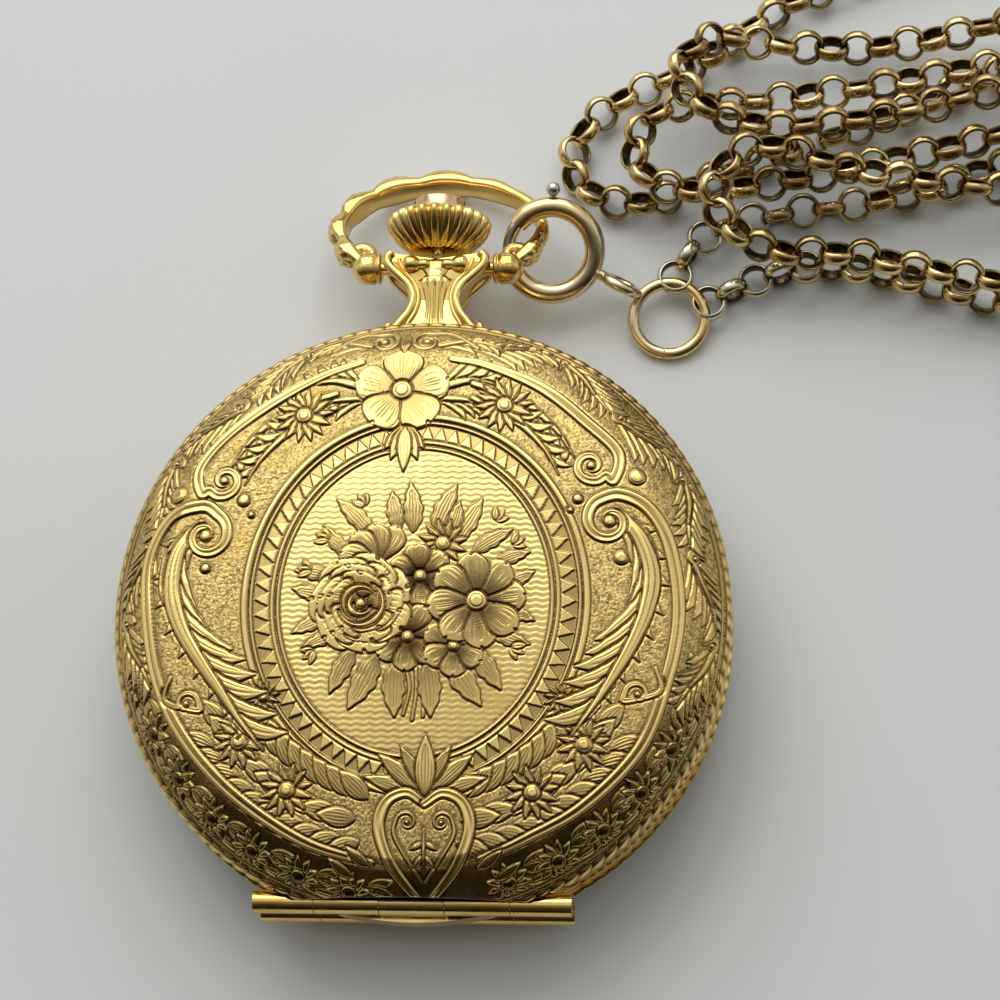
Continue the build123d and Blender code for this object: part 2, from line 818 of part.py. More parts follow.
def balance_wheel():
    """Make the balance: rim, two arms, staff and roller."""
    x = balance_x
    y = balance_y
    high = balance_low + balance_thick
    rim = pipe(balance_radius, balance_radius - balance_rim, balance_low, high, x, y)
    reach = balance_radius - balance_rim / 2
    arm_top = balance_low + balance_thick * 0.6
    arm = Pos(x, y, 0) * block(-reach, reach, -balance_arm / 2, balance_arm / 2, balance_low, arm_top)
    hub = post(arbor_radius * 2, balance_low, high, x, y)
    roller = post(roller_radius, roller_low - roller_thick, roller_low, x, y)
    staff = post(arbor_radius, hairspring_low - hairspring_height, roller_low, x, y)
    pivots = post(pivot_radius, pivot_ends()[0], pivot_ends()[1], x, y)
    px, py = pallet_place()
    bearing = math.degrees(math.atan2(py - y, px - x))
    jx, jy = polar(roller_reach, bearing, x, y)
    jewel = post(roller_jewel, roller_low, pallet_z + pallet_thick, jx, jy)
    pegs = []
    middle_z = (balance_low + high) / 2
    for index in range(balance_pegs):
        bearing = (index + 0.5) * 360 / balance_pegs
        peg = bar_x(balance_rim / 2, reach, balance_radius + balance_rim / 4, 0, middle_z)
        pegs.append(Pos(x, y, 0) * Rot(0, 0, bearing) * peg)
    return joined([rim, arm, hub, roller, staff, pivots, jewel] + pegs)


def spiral_band(inner, pitch, turns, thick, low, high, x, y):
    """Wind a flat band as a spiral of half circles."""
    half = thick / 2
    outer_line = []
    inner_line = []
    for index in range(turns * 2):
        side = 1 if index % 2 == 0 else -1
        radius = inner + pitch / 2 * index + pitch / 4
        centre = x - side * pitch / 4
        top = (centre + side * radius, y)
        back = (centre - side * radius, y)
        for line, shift in ((outer_line, half), (inner_line, -half)):
            start = (top[0] + side * shift, y)
            end = (back[0] - side * shift, y)
            middle = (centre, y + side * (radius + shift))
            line.append(ThreePointArc(start, middle, end))
    first = Line(outer_line[0] @ 0, inner_line[0] @ 0)
    last = Line(outer_line[-1] @ 1, inner_line[-1] @ 1)
    face = make_face(Curve() + outer_line + inner_line + [first, last])
    return Pos(0, 0, low) * extrude(face, high - low)


def hairspring():
    """Make the flat spiral spring of the balance with its stud."""
    high = hairspring_low + hairspring_height
    pitch = (hairspring_radius - hairspring_inner) / hairspring_turns
    coil = spiral_band(hairspring_inner, pitch, hairspring_turns, hairspring_thick, hairspring_low, high,
                       balance_x, balance_y)
    collet = pipe(hairspring_inner, arbor_radius + running_fit, hairspring_low, high, balance_x, balance_y)
    arm = block(balance_x + hairspring_inner * 0.9, balance_x + hairspring_inner + pitch,
                balance_y - hairspring_thick, balance_y + hairspring_thick, hairspring_low, high)
    return joined([coil, collet, arm])


def mainspring():
    """Make the mainspring wound inside the barrel."""
    x, y = barrel_place()
    low = barrel_low + barrel_wall + running_fit
    high = barrel_high - barrel_wall - running_fit
    room = barrel_radius - barrel_wall - barrel_rim - mainspring_thick - mainspring_inner
    pitch = room / mainspring_turns
    return spiral_band(mainspring_inner, pitch, mainspring_turns, mainspring_thick, low, high, x, y)


def barrel():
    """Make the toothed drum with its lid seat, open inside for the mainspring."""
    x, y = barrel_place()
    drum = prism(fine_outline(barrel_teeth, barrel_radius, barrel_bearing + 180, x, y),
                 barrel_high - barrel_rim, barrel_high)
    drum = drum + post(barrel_radius - barrel_rim, barrel_low, barrel_high, x, y)
    inside = barrel_radius - barrel_rim - barrel_wall
    drum = drum - post(inside, barrel_low + barrel_wall, barrel_high - barrel_wall, x, y)
    return drum - post(barrel_shaft + running_fit, 0, case_height, x, y)


def barrel_arbor():
    """Make the arbor that the mainspring is hooked on."""
    x, y = barrel_place()
    wall = barrel_wall + running_fit
    core = post(arbor_radius * 4, barrel_low + wall, barrel_high - wall, x, y)
    shaft = post(barrel_shaft, top_wheel_z + top_wheel_thick, plate_low + (plate_high - plate_low) / 3, x, y)
    square = post(barrel_square, top_wheel_z, top_wheel_z + top_wheel_thick, x, y)
    return core + shaft + square


def bridge_slab(outline):
    """Cut a bridge from the disc of the movement by its outline in plan."""
    disc = post(movement_radius - bridge_edge_gap, bridge_low, bridge_high)
    return disc & prism(outline, bridge_low - overrun, bridge_high + overrun)


def pillar(radius, x, y):
    """Stand a foot between a bridge and the plate."""
    return post(radius, bridge_high - overrun * 0.1, plate_low, x, y)


def bridge_pillars():
    """List the feet of each bridge: bearing, radius from the centre."""
    reach = movement_radius - ledge_wall - screw_radius * 2
    barrel_feet = [polar(reach, bearing) for bearing in (15, 64, 112, 158)]
    train_feet = [polar(reach, bearing) for bearing in (-8, 300, 262)]
    cock_foot = [polar(reach, cock_foot_bearing)]
    return barrel_feet, train_feet, cock_foot


def barrel_bridge():
    """Make the bridge over the barrel and the winding wheels."""
    size = case_radius * 2
    edge = bridge_gap + 3 * jewel_radius
    slab = bridge_slab([(-size, edge), (size, edge), (size, size), (-size, size)])
    slab = slab - post(balance_radius + bridge_gap, 0, bridge_high + overrun, balance_x, balance_y)
    for x, y in bridge_pillars()[0]:
        slab = slab + pillar(screw_radius * 1.7, x, y)
        slab = slab - post(screw_shank, 0, plate_high, x, y)
        slab = slab - post(screw_radius + running_fit, bridge_low - overrun, bridge_low + screw_head, x, y)
    bx, by = barrel_place()
    slab = slab - post(barrel_shaft + running_fit, 0, case_height, bx, by)
    slab = slab - post(crown_hub + running_fit, 0, case_height, 0, crown_wheel_y)
    return slab


def train_bridge():
    """Make the bridge over the centre, third, fourth and escape wheels."""
    size = case_radius * 2
    top = 3 * jewel_radius
    outline = [(-jewel_radius * 2.6, top), (size, top), (size, -size)]
    outline = outline + [(balance_x * 0.79, -size), (balance_x * 0.711, fourth_y)]
    slab = bridge_slab(outline)
    ex, ey = escape_place()
    wide = jewel_radius * 2
    corners = [(ex - wide, ey - jewel_radius), (0, fourth_y - wide), (0, fourth_y + wide)]
    corners.append((ex - jewel_radius, ey + wide))
    slab = slab + prism(corners, bridge_low, bridge_high)
    for x, y in bridge_pillars()[1]:
        slab = slab + pillar(screw_radius * 1.7, x, y)
        slab = slab - post(screw_shank, 0, plate_high, x, y)
        slab = slab - post(screw_radius + running_fit, bridge_low - overrun, bridge_low + screw_head, x, y)
    for x, y in train_places()[:3] + [(0, 0)]:
        slab = slab - post(jewel_radius, 0, case_height, x, y)
    return slab


def balance_cock():
    """Make the cock that holds the balance's upper pivot."""
    x, y = bridge_pillars()[2][0]
    wide = screw_radius * 2.2
    slab = post(wide, bridge_low, bridge_high, x, y)
    slab = slab + post(wide, bridge_low, bridge_high, balance_x, balance_y)
    bearing = math.degrees(math.atan2(y - balance_y, x - balance_x))
    reach = math.hypot(x - balance_x, y - balance_y)
    arm = block(0, reach, -wide * 0.8, wide * 0.8, bridge_low, bridge_high)
    slab = slab + Pos(balance_x, balance_y, 0) * Rot(0, 0, bearing) * arm
    slab = slab + pillar(wide * 0.75, x, y)
    slab = slab - post(screw_shank, 0, plate_high, x, y)
    slab = slab - post(screw_radius + running_fit, bridge_low - overrun, bridge_low + screw_head, x, y)
    return slab - post(jewel_radius, 0, case_height, balance_x, balance_y)


def pallet_cock():
    """Make the small cock over the pallet fork."""
    x, y = pallet_place()
    aside = bearing_to((x, y), (balance_x, balance_y)) + 90
    fx, fy = polar(pallet_cock_reach, aside, x, y)
    low = pallet_cock_low
    high = low + pallet_cock_thick
    slab = post(jewel_radius * 1.6, low, high, x, y) + post(screw_radius * 1.3, low, high, fx, fy)
    arm = block(0, math.hypot(fx - x, fy - y), -jewel_radius, jewel_radius, low, high)
    slab = slab + Pos(x, y, 0) * Rot(0, 0, bearing_to((x, y), (fx, fy))) * arm
    slab = slab + post(screw_radius, high, plate_low, fx, fy)
    return slab - post(pivot_radius + running_fit, 0, case_height, x, y)


def main_plate():
    """Make the plate that the whole movement is built on."""
    plate = post(movement_radius, plate_low, plate_high)
    ledge_low = flange_low - joint_gap - ledge_thick
    plate = plate + pipe(ledge_radius, movement_radius - ledge_wall, ledge_low, flange_low - joint_gap)
    plate = plate - post(motion_recess_radius, plate_high - motion_recess, plate_high + overrun)
    plate = plate - post(jewel_radius, 0, case_height)
    for x, y in train_places():
        plate = plate - post(jewel_radius, 0, case_height, x, y)
    bx, by = barrel_place()
    plate = plate - post(barrel_shaft + running_fit, 0, case_height, bx, by)
    mx, my = minute_wheel_place()
    plate = plate - post(pivot_radius * 2, 0, case_height, mx, my)
    for feet in bridge_pillars():
        for x, y in feet:
            plate = plate - post(screw_shank, 0, case_height, x, y)
    block_low = stem_z - winding_pinion_radius
    boss = block(-winding_pinion_radius * 2, winding_pinion_radius * 2, stem_inner_end - overrun / 2,
                 movement_radius * 0.97, block_low, plate_high)
    boss = boss - post(barrel_radius * 1.1, 0, plate_low, bx, by)
    plate = plate + (boss & post(movement_radius, 0, case_height))
    plate = plate - bar_y(stem_radius + bore_clearance, stem_inner_end - overrun / 4, case_radius, 0, stem_z)
    clear = winding_pinion_radius * 1.35
    pinion_low = winding_pinion_low()
    pocket = block(-clear, clear, pinion_low - running_fit, pinion_low + winding_pinion_length + running_fit,
                   0, plate_high + overrun)
    wheel_room = post(contrate_radius * 1.2, 0, contrate_top() + contrate_gap, 0, crown_wheel_y)
    return plate - pocket - wheel_room


def winding_pinion_low():
    """Give the inner end of the winding pinion along the stem."""
    return crown_wheel_y + contrate_radius - winding_pinion_length / 2


def contrate_top():
    """Give the height of the crown wheel's contrate teeth."""
    return stem_z - winding_pinion_radius - contrate_gap


def crown_wheel():
    """Make the crown wheel: contrate teeth under the plate and spur teeth on the bridge."""
    distance = math.dist(barrel_place(), (0, crown_wheel_y))
    radius = distance - ratchet_radius
    turn = math.degrees(math.atan2(barrel_place()[1] - crown_wheel_y, barrel_place()[0]))
    spur = prism(gear_outline(crown_wheel_teeth, radius, turn, 0, crown_wheel_y), top_wheel_z,
                 top_wheel_z + top_wheel_thick)
    hub = post(crown_hub, top_wheel_z, contrate_top(), 0, crown_wheel_y)
    low = contrate_top() - contrate_thick
    lower = prism(gear_outline(contrate_teeth, contrate_radius, 0, 0, crown_wheel_y), low, contrate_top())
    return spur + hub + lower


def ratchet_wheel():
    """Make the ratchet wheel on the barrel arbor."""
    x, y = barrel_place()
    turn = math.degrees(math.atan2(crown_wheel_y - y, -x)) + 180 / ratchet_teeth
    high = top_wheel_z + top_wheel_thick
    disc = prism(gear_outline(ratchet_teeth, ratchet_radius, turn, x, y), top_wheel_z, high)
    return disc - post(barrel_square + jewel_fit, 0, case_height, x, y)


def winding_pinion():
    """Make the pinion on the stem that drives the crown wheel."""
    outline = gear_outline(winding_pinion_leaves, winding_pinion_radius * 0.87, 90, 0, 0)
    body = prism(outline, 0, winding_pinion_length)
    body = body - Cylinder(stem_radius + running_fit, winding_pinion_length * 4)
    return Pos(0, winding_pinion_low(), stem_z) * Rot(-90, 0, 0) * body


def click():
    """Make the click that holds the ratchet wheel."""
    high = top_wheel_z + top_wheel_thick
    x, y = barrel_place()
    bearing = math.degrees(math.atan2(y - click_y, x - click_x))
    reach = math.hypot(y - click_y, x - click_x) - ratchet_radius * 1.06
    half = click_width / 2
    pawl = prism([(0, half), (0, -half), (reach, -half / 3), (reach, half / 3)], top_wheel_z, high)
    body = Pos(click_x, click_y, 0) * Rot(0, 0, bearing) * pawl
    body = body + post(half * 1.2, top_wheel_z, high, click_x, click_y)
    return body - post(click_screw / 2 + running_fit, 0, case_height, click_x, click_y)


def screws():
    """Make the screws of bridges and cock, as separate solids."""
    barrel_feet, train_feet, cock_foot = bridge_pillars()
    solids = []
    for x, y in barrel_feet + train_feet + cock_foot:
        head = post(screw_radius, bridge_low, bridge_low + screw_head - running_fit / 2, x, y)
        shank = post(screw_shank - running_fit / 2, bridge_low, (plate_low + plate_high) / 2, x, y)
        slot = Pos(x, y, bridge_low) * Box(screw_radius * 3, screw_slot, screw_slot * 2)
        solids.append(head + shank - slot)
    return Compound(children=solids)


def wheel_screws():
    """Make the screws that hold the ratchet wheel, the crown wheel and the click."""
    bx, by = barrel_place()
    low = top_wheel_z - screw_head * 0.7
    solids = []
    for x, y, radius in ((bx, by, wheel_screw_radius), (0, crown_wheel_y, wheel_screw_radius)):
        head = post(radius, low, top_wheel_z, x, y)
        solids.append(head - Pos(x, y, low) * Box(radius * 3, screw_slot, screw_slot * 2))
    head = post(click_screw, low, top_wheel_z, click_x, click_y)
    shank = post(click_screw / 2, low, bridge_low, click_x, click_y)
    slot = Pos(click_x, click_y, low) * Box(click_screw * 3, screw_slot, screw_slot * 2)
    solids.append(head + shank - slot)
    return Compound(children=solids)


def jewels():
    """Make the jewels in the bridges and the plate, as separate solids."""
    solids = []
    size = jewel_radius - jewel_fit
    hole = pivot_radius + running_fit
    bridge_top = bridge_high - (bridge_high - bridge_low) / 3
    plate_top = (plate_low + plate_high) / 2
    for x, y in train_places():
        if (x, y) != pallet_place():
            low_jewel = post(size, bridge_low, bridge_top, x, y)
            solids.append(low_jewel - post(hole, pivot_ends()[0] - running_fit, case_height, x, y))
        high_jewel = post(size, plate_low + jewel_fit, plate_top, x, y)
        through = case_height if (x, y) == (0, fourth_y) else pivot_ends()[1] + running_fit
        solids.append(high_jewel - post(hole, 0, through, x, y))
    return Compound(children=solids)


def cannon_pinion():
    """Make the cannon pinion that the minute hand sits on."""
    low = plate_high - motion_recess + running_fit
    body = pipe(cannon_radius, arbor_radius, low, minute_hand_z)
    leaves = prism(gear_outline(cannon_leaves, cannon_pitch, 0, 0, 0), low, low + motion_thick)
    return body + (leaves - post(arbor_radius, 0, case_height))


def minute_wheel_place():
    """Give the minute wheel's centre."""
    return polar(cannon_pitch * (1 + minute_teeth / cannon_leaves), minute_bearing)


def minute_wheel():
    """Make the minute wheel with its pinion, between the cannon pinion and the hour wheel."""
    x, y = minute_wheel_place()
    low = plate_high - motion_recess + running_fit
    turn = minute_bearing + 180 + 180 / minute_teeth
    radius = cannon_pitch * minute_teeth / cannon_leaves
    disc = prism(fine_outline(minute_teeth, radius, turn, x, y), low, low + motion_thick)
    leaf_radius = math.hypot(x, y) / (1 + hour_teeth / minute_leaves)
    high = low + motion_thick * 2 + running_fit
    leaves = prism(gear_outline(minute_leaves, leaf_radius, turn, x, y), low, high)
    return disc + leaves - post(pivot_radius * 2 + running_fit, 0, case_height, x, y)


def minute_post():
    """Make the post that the minute wheel turns on."""
    x, y = minute_wheel_place()
    top = plate_high - motion_recess + running_fit + motion_thick * 2
    return post(pivot_radius * 2, plate_low + (plate_high - plate_low) / 4, top, x, y)


def hour_wheel():
    """Make the hour wheel and its pipe round the cannon pinion."""
    x, y = minute_wheel_place()
    leaf_radius = math.hypot(x, y) / (1 + hour_teeth / minute_leaves)
    radius = leaf_radius * hour_teeth / minute_leaves
    low = plate_high - motion_recess + running_fit * 2 + motion_thick
    turn = minute_bearing + 180 / hour_teeth
    disc = prism(fine_outline(hour_teeth, radius, turn, 0, 0), low, low + motion_thick * 0.8)
    body = post(hour_pipe_radius, low, hour_hand_z)
    return disc + body - post(cannon_radius + running_fit, 0, case_height)


def pendant_neck():
    """Make the flared neck that carries the bow and the stem."""
    saddle_y = neck_top_y - neck_saddle
    foot = (neck_foot, neck_base_y)
    foot_top = (neck_foot * 0.86, neck_base_y + neck_foot_height)
    waist = (neck_waist, neck_waist_y)
    shoulder = (neck_shoulder, neck_shoulder_y)
    top = (neck_shoulder * 0.88, neck_top_y)
    halves = []
    for side in (1, -1):
        rib = side * neck_rib
        corners = [(side * x, y) for x, y in (foot, foot_top, waist, shoulder, top)]
        line = [Line((0, neck_base_y), corners[0])]
        for start, end, bulge in zip(corners, corners[1:], (-rib / 2, rib / 2, rib, -rib / 3)):
            line.append(bulged(start, end, bulge))
        line.append(Line(corners[-1], (0, saddle_y)))
        line.append(Line((0, saddle_y), (0, neck_base_y)))
        halves.append(make_face(Curve() + line))
    plan = halves[0] + halves[1]
    half = neck_depth / 2
    body = Pos(0, 0, stem_z - half) * extrude(plan, neck_depth)
    side_line = [(neck_base_y - overrun, half), (neck_base_y, half), (neck_waist_y, neck_waist_depth / 2)]
    side_line = side_line + [(neck_shoulder_y, half), (neck_top_y + overrun, half)]
    mirror_line = [(y, -z) for y, z in reversed(side_line)]
    side_face = make_face(Plane.YZ * Polyline(*(side_line + mirror_line), close=True))
    body = body & (Pos(0, 0, stem_z) * extrude(side_face, case_radius, both=True))
    body = body - bar_y(stem_radius + bore_clearance, neck_base_y - overrun, neck_top_y + overrun, 0, stem_z)
    reach = neck_shoulder + overrun
    for side in (1, -1):
        ends = sorted((side * (neck_shoulder - bow_pin_sink), side * reach))
        body = body - bar_x(bow_pin_radius, ends[0], ends[1], bow_pivot_y, stem_z)
    return body - post(band_radius, 0, case_height)


def stem():
    """Make the winding stem from the movement to the crown."""
    end = crown_base_y + (crown_top_y - crown_base_y) / 2
    return bar_y(stem_radius, stem_inner_end, end, 0, stem_z)


def lobed_ring(radius, flutes, depth, height):
    """Draw a round outline with scalloped flutes at a height."""
    step = 360 / flutes
    edges = []
    for index in range(flutes):
        start = polar(radius - depth, (index - 0.5) * step)
        end = polar(radius - depth, (index + 0.5) * step)
        edges.append(ThreePointArc(start, polar(radius, index * step), end))
    return Pos(0, 0, height) * make_face(Curve() + edges)


def crown():
    """Make the fluted onion crown with its bore for the stem."""
    length = crown_top_y - crown_base_y
    heights = (0, length * 0.35, crown_wide_y - crown_base_y, length * 0.86, length)
    lower_radius = crown_base_radius + (crown_radius - crown_base_radius) * 0.62
    radii = (crown_base_radius, lower_radius, crown_radius, crown_radius * 0.97, crown_top_radius)
    deep = (flute_depth * 0.7, flute_depth, flute_depth, flute_depth, flute_depth * 0.5)
    rings = [lobed_ring(r, crown_flutes, d, h) for r, d, h in zip(radii, deep, heights)]
    body = loft(rings, ruled=True)
    hole = (crown_top_y - crown_base_y) / 2
    body = body - Pos(0, 0, hole / 2) * Cylinder(stem_radius, hole)
    body = body - Pos(0, 0, length) * Cylinder(crown_cap_radius, crown_cap_sink * 2)
    return Pos(0, crown_base_y, stem_z) * Rot(-90, 0, 0) * body


def crown_cap():
    """Make the smooth domed cap on the end of the crown."""
    low = crown_top_y - crown_cap_sink
    rim = low + crown_cap_height * 0.7
    top = low + crown_cap_height
    edges = [Line((0, low), (crown_cap_radius, low))]
    edges.append(Line((crown_cap_radius, low), (crown_cap_radius, rim)))
    edges.append(bulged((crown_cap_radius, rim), (0, top), -sag_bulge(crown_cap_radius, top - rim)))
    edges.append(Line((0, top), (0, low)))
    return Pos(0, 0, stem_z) * Rot(-90, 0, 0) * spun(edges)


def on_bow(shape):
    """Tip a shape drawn in the bow's own plane down to where the bow lies."""
    return Pos(0, bow_pivot_y, stem_z) * Rot(-bow_drop, 0, 0) * shape


def bow():
    """Make the bow: a flat band with a lobed outer edge between two ball ends."""
    outer_half = bow_inner_half + bow_band
    outer_rise = bow_inner_rise + bow_band
    span = 180 - 2 * bow_start
    inner = EllipticalCenterArc((0, bow_centre_v), bow_inner_half, bow_inner_rise, bow_start, arc_size=span)
    points = []
    for index in range(bow_lobes * 2 + 1):
        bearing = math.radians(bow_start + span * index / (bow_lobes * 2))
        swell = bow_lobe_rise if index % 2 else 0
        across = (outer_half + swell) * math.cos(bearing)
        points.append((across, bow_centre_v + (outer_rise + swell) * math.sin(bearing)))
    lobes = [ThreePointArc(*points[index:index + 3]) for index in range(0, bow_lobes * 2, 2)]
    ends = [Line(inner @ 0, points[0]), Line(inner @ 1, points[-1])]
    face = make_face(Curve() + [inner] + lobes + ends)
    body = Pos(0, 0, -bow_depth / 2) * extrude(face, bow_depth)
    dome = bow_ball_outer - bow_ball_radius
    slope = math.cos(math.radians(45)) * bow_ball_radius
    bullet = spun([Line((0, bow_ball_inner), (bow_ball_radius, bow_ball_inner)),
                   Line((bow_ball_radius, bow_ball_inner), (bow_ball_radius, dome)),
                   ThreePointArc((bow_ball_radius, dome), (slope, dome + slope), (0, bow_ball_outer)),
                   Line((0, bow_ball_outer), (0, bow_ball_inner))])
    body = body + Rot(0, 90, 0) * bullet + Rot(0, -90, 0) * bullet
    for side in (1, -1):
        ends = sorted((side * (bow_ball_inner - overrun), side * (bow_ball_outer - bow_ball_radius)))
        body = body - bar_x(bow_pin_radius + bow_pin_fit, ends[0], ends[1], 0, 0)
    return on_bow(body)


def bow_pins():
    """Make the two pins in the neck that the bow swings on, as separate solids."""
    solids = []
    outer = bow_ball_outer - bow_ball_radius - bow_pin_fit
    for side in (1, -1):
        ends = sorted((side * (neck_shoulder - bow_pin_sink), side * outer))
        solids.append(bar_x(bow_pin_radius, ends[0], ends[1], bow_pivot_y, stem_z))
    return Compound(children=solids)


def on_clasp(shape):
    """Place a shape drawn in the spring ring's own plane."""
    return Pos(*clasp_centre) * Rot(clasp_tilt, 0, 0) * shape


def ring_span(major, minor, first, last):
    """Make part of a round ring from one bearing to another."""
    circle = Plane.XZ * Pos(major, 0, 0) * Circle(minor)
    return Rot(0, 0, first) * revolve(circle, Axis.Z, revolution_arc=last - first)


def clasp_ring():
    """Make the spring ring: a hollow curved tube with a slot, a tail and an eye."""
    body = ring_span(clasp_radius, clasp_tube, clasp_seat, 360 + clasp_mouth)
    bore = clasp_bolt_radius + clasp_fit
    bore_end = clasp_mouth + clasp_fit_angle
    body = body - ring_span(clasp_radius, bore, clasp_slot_end - clasp_fit_angle, bore_end)
    size = clasp_radius + clasp_tube + overrun
    slot = pipe(size, clasp_radius, -trigger_stem - clasp_fit, trigger_stem + clasp_fit)
    first = clasp_slot_end
    last = trigger_bearing + clasp_fit_angle * 3
    wedge = prism([(0, 0), polar(size * 2, first), polar(size * 2, last)], -size, size)
    body = body - (slot & wedge)
    eye_reach = clasp_radius + clasp_tube + tail_length + eye_radius
    tail = bar_x(eye_wire, clasp_radius, eye_reach - eye_radius, 0, 0)
    eye = Pos(eye_reach, 0, 0) * Rot(90, 0, 0) * Torus(eye_radius, eye_wire)
    return on_clasp(body + Rot(0, 0, tail_bearing) * (tail + eye))


def clasp_bolt():
    """Make the curved bolt of the spring ring with its trigger ball."""
    body = ring_span(clasp_radius, clasp_bolt_radius, bolt_tail, clasp_seat - clasp_fit_angle)
    stem_length = clasp_tube + trigger_ball + clasp_fit
    peg = bar_x(trigger_stem, clasp_radius, clasp_radius + stem_length, 0, 0)
    ball = Pos(clasp_radius + stem_length, 0, 0) * Sphere(trigger_ball)
    return on_clasp(body + Rot(0, 0, trigger_bearing) * (peg + ball))


def jump_ring():
    """Make the open wire ring that joins the necklace to the spring ring."""
    body = ring_span(jump_radius, jump_wire, jump_split + jump_gap, 360 + jump_split)
    return Pos(*jump_centre) * Rot(jump_tilt, 0, 0) * body


def on_jump_ring(bearing):
    """Give the point at a bearing on the middle line of the jump ring."""
    x, y = polar(jump_radius, bearing)
    tilt = math.radians(jump_tilt)
    return (jump_centre[0] + x, jump_centre[1] + y * math.cos(tilt), jump_centre[2] + y * math.sin(tilt))


def necklace_route():
    """Give the route of the necklace from the jump ring round the heap and back to it."""
    return [on_jump_ring(first_link_bearing)] + heap_points + [on_jump_ring(last_link_bearing)]


def route_radii(points):
    """Give the radius of the arc at each corner of a route."""
    radii = []
    for before, here, after in zip(points, points[1:], points[2:]):
        first = Vector(here) - Vector(before)
        second = Vector(after) - Vector(here)
        half = math.radians(first.get_angle(second)) / 2
        radii.append(route_share * min(first.length, second.length) / math.tan(half))
    return radii


def link_outline(half, side, corner, height):
    """Draw a link's six-sided outline at a height."""
    points = [(half, corner), (0, side), (-half, corner), (-half, -corner), (0, -side), (half, -corner)]
    return Pos(0, 0, height) * make_face(Polyline(*points, close=True))


def chain_link():
    """Make one link: a six-sided ring, flat inside and ridged outside."""
    half_width = link_width / 2
    inner_half = link_length / 2 - link_wall
    inner_side = link_breadth / 2 - link_wall
    inner_corner = link_corner - link_wall * 0.75
    rim = link_outline(inner_half, inner_side, inner_corner, half_width)
    waist = link_outline(link_length / 2, link_breadth / 2, link_corner, 0)
    other = link_outline(inner_half, inner_side, inner_corner, -half_width)
    hole = extrude(link_outline(inner_half, inner_side, inner_corner, -overrun), overrun * 2)
    return loft([other, waist, rim], ruled=True) - hole


def link_places(path):
    """Give the place and roll of every link along the necklace."""
    length = path.length - 2 * link_start
    count = round(length / link_pitch)
    count = count + 1 - count % 2
    places = []
    for index in range(count):
        share = (link_start + length * index / (count - 1)) / path.length
        near_end = min(index, count - 1 - index)
        roll = link_lean * min(1, near_end / lean_links) + 90 * (index % 2)
        places.append((path @ share, path % share, roll))
    return places


def placed_link(link, place):
    """Put a link on the route, turned along it."""
    point, along, roll = place
    up = Vector(0, 0, 1)
    across = up.cross(along).normalized()
    plane = Plane(origin=point, x_dir=along, z_dir=across)
    return plane.location * Rot(roll, 0, 0) * link


def strands():
    """Make the necklace's links, in groups that follow one another."""
    points = necklace_route()
    radii = route_radii(points)
    path = FilletPolyline(*points, radius=radii)
    link = chain_link()
    places = link_places(path)
    print("necklace", round(path.length, 1), "links", len(places), "radii", [round(r, 1) for r in radii])
    size = math.ceil(len(places) / strand_count)
    groups = {}
    for index in range(strand_count):
        chosen = places[index * size:(index + 1) * size]
        solids = [placed_link(link, place) for place in chosen]
        groups[f"necklace_strand_{index + 1}"] = Compound(children=solids)
    return groups


def build_pieces():
    """Make every piece of the watch."""
    hour_hub = hand_hub * 1.1
    return {
        "front_cover": front_cover(),
        "back_cover": back_cover(),
        "case_band": case_band(),
        "front_joint_pin": joint_pin(front_joint_z),
        "back_joint_pin": joint_pin(back_joint_z),
        "lock_spring": lock_spring(),
        "lift_spring": lift_spring(),
        "bezel": bezel(),
        "crystal": crystal(),
        "dial": dial(),
        "hour_hand": hand(hour_hand_length, hour_hand_z, hour_hub, cannon_radius + running_fit),
        "minute_hand": hand(minute_hand_length, minute_hand_z, hand_hub, arbor_radius),
        "seconds_hand": seconds_hand(),
        "main_plate": main_plate(),
        "barrel_bridge": barrel_bridge(),
        "train_bridge": train_bridge(),
        "balance_cock": balance_cock(),
        "pallet_cock": pallet_cock(),
        "barrel": barrel(),
        "barrel_arbor": barrel_arbor(),
        "mainspring": mainspring(),
        "centre_wheel": centre_wheel(),
        "third_wheel": third_wheel(),
        "fourth_wheel": fourth_wheel(),
        "escape_wheel": escape_wheel(),
        "pallet_fork": pallet_fork(),
        "balance_wheel": balance_wheel(),
        "hairspring": hairspring(),
        "jewels": jewels(),
        "bridge_screws": screws(),
        "wheel_screws": wheel_screws(),
        "cannon_pinion": cannon_pinion(),
        "minute_wheel": minute_wheel(),
        "minute_post": minute_post(),
        "hour_wheel": hour_wheel(),
        "winding_stem": stem(),
        "winding_pinion": winding_pinion(),
        "crown_wheel": crown_wheel(),
        "ratchet_wheel": ratchet_wheel(),
        "click": click(),
        "pendant_neck": pendant_neck(),
        "crown": crown(),
        "crown_cap": crown_cap(),
        "bow": bow(),
        "bow_pins": bow_pins(),
        "clasp_ring": clasp_ring(),
        "clasp_bolt": clasp_bolt(),
        "jump_ring": jump_ring(),
    }


def main():
    """Write every piece as its own file."""
    os.makedirs("parts", exist_ok=True)
    pieces = build_pieces()
    pieces.update(strands())
    for name, shape in pieces.items():
        export_step(shape, os.path.join("parts", name + ".step"))


main()
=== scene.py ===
import json
import math
import random

import bpy
import numpy as np
from mathutils import Matrix, Vector


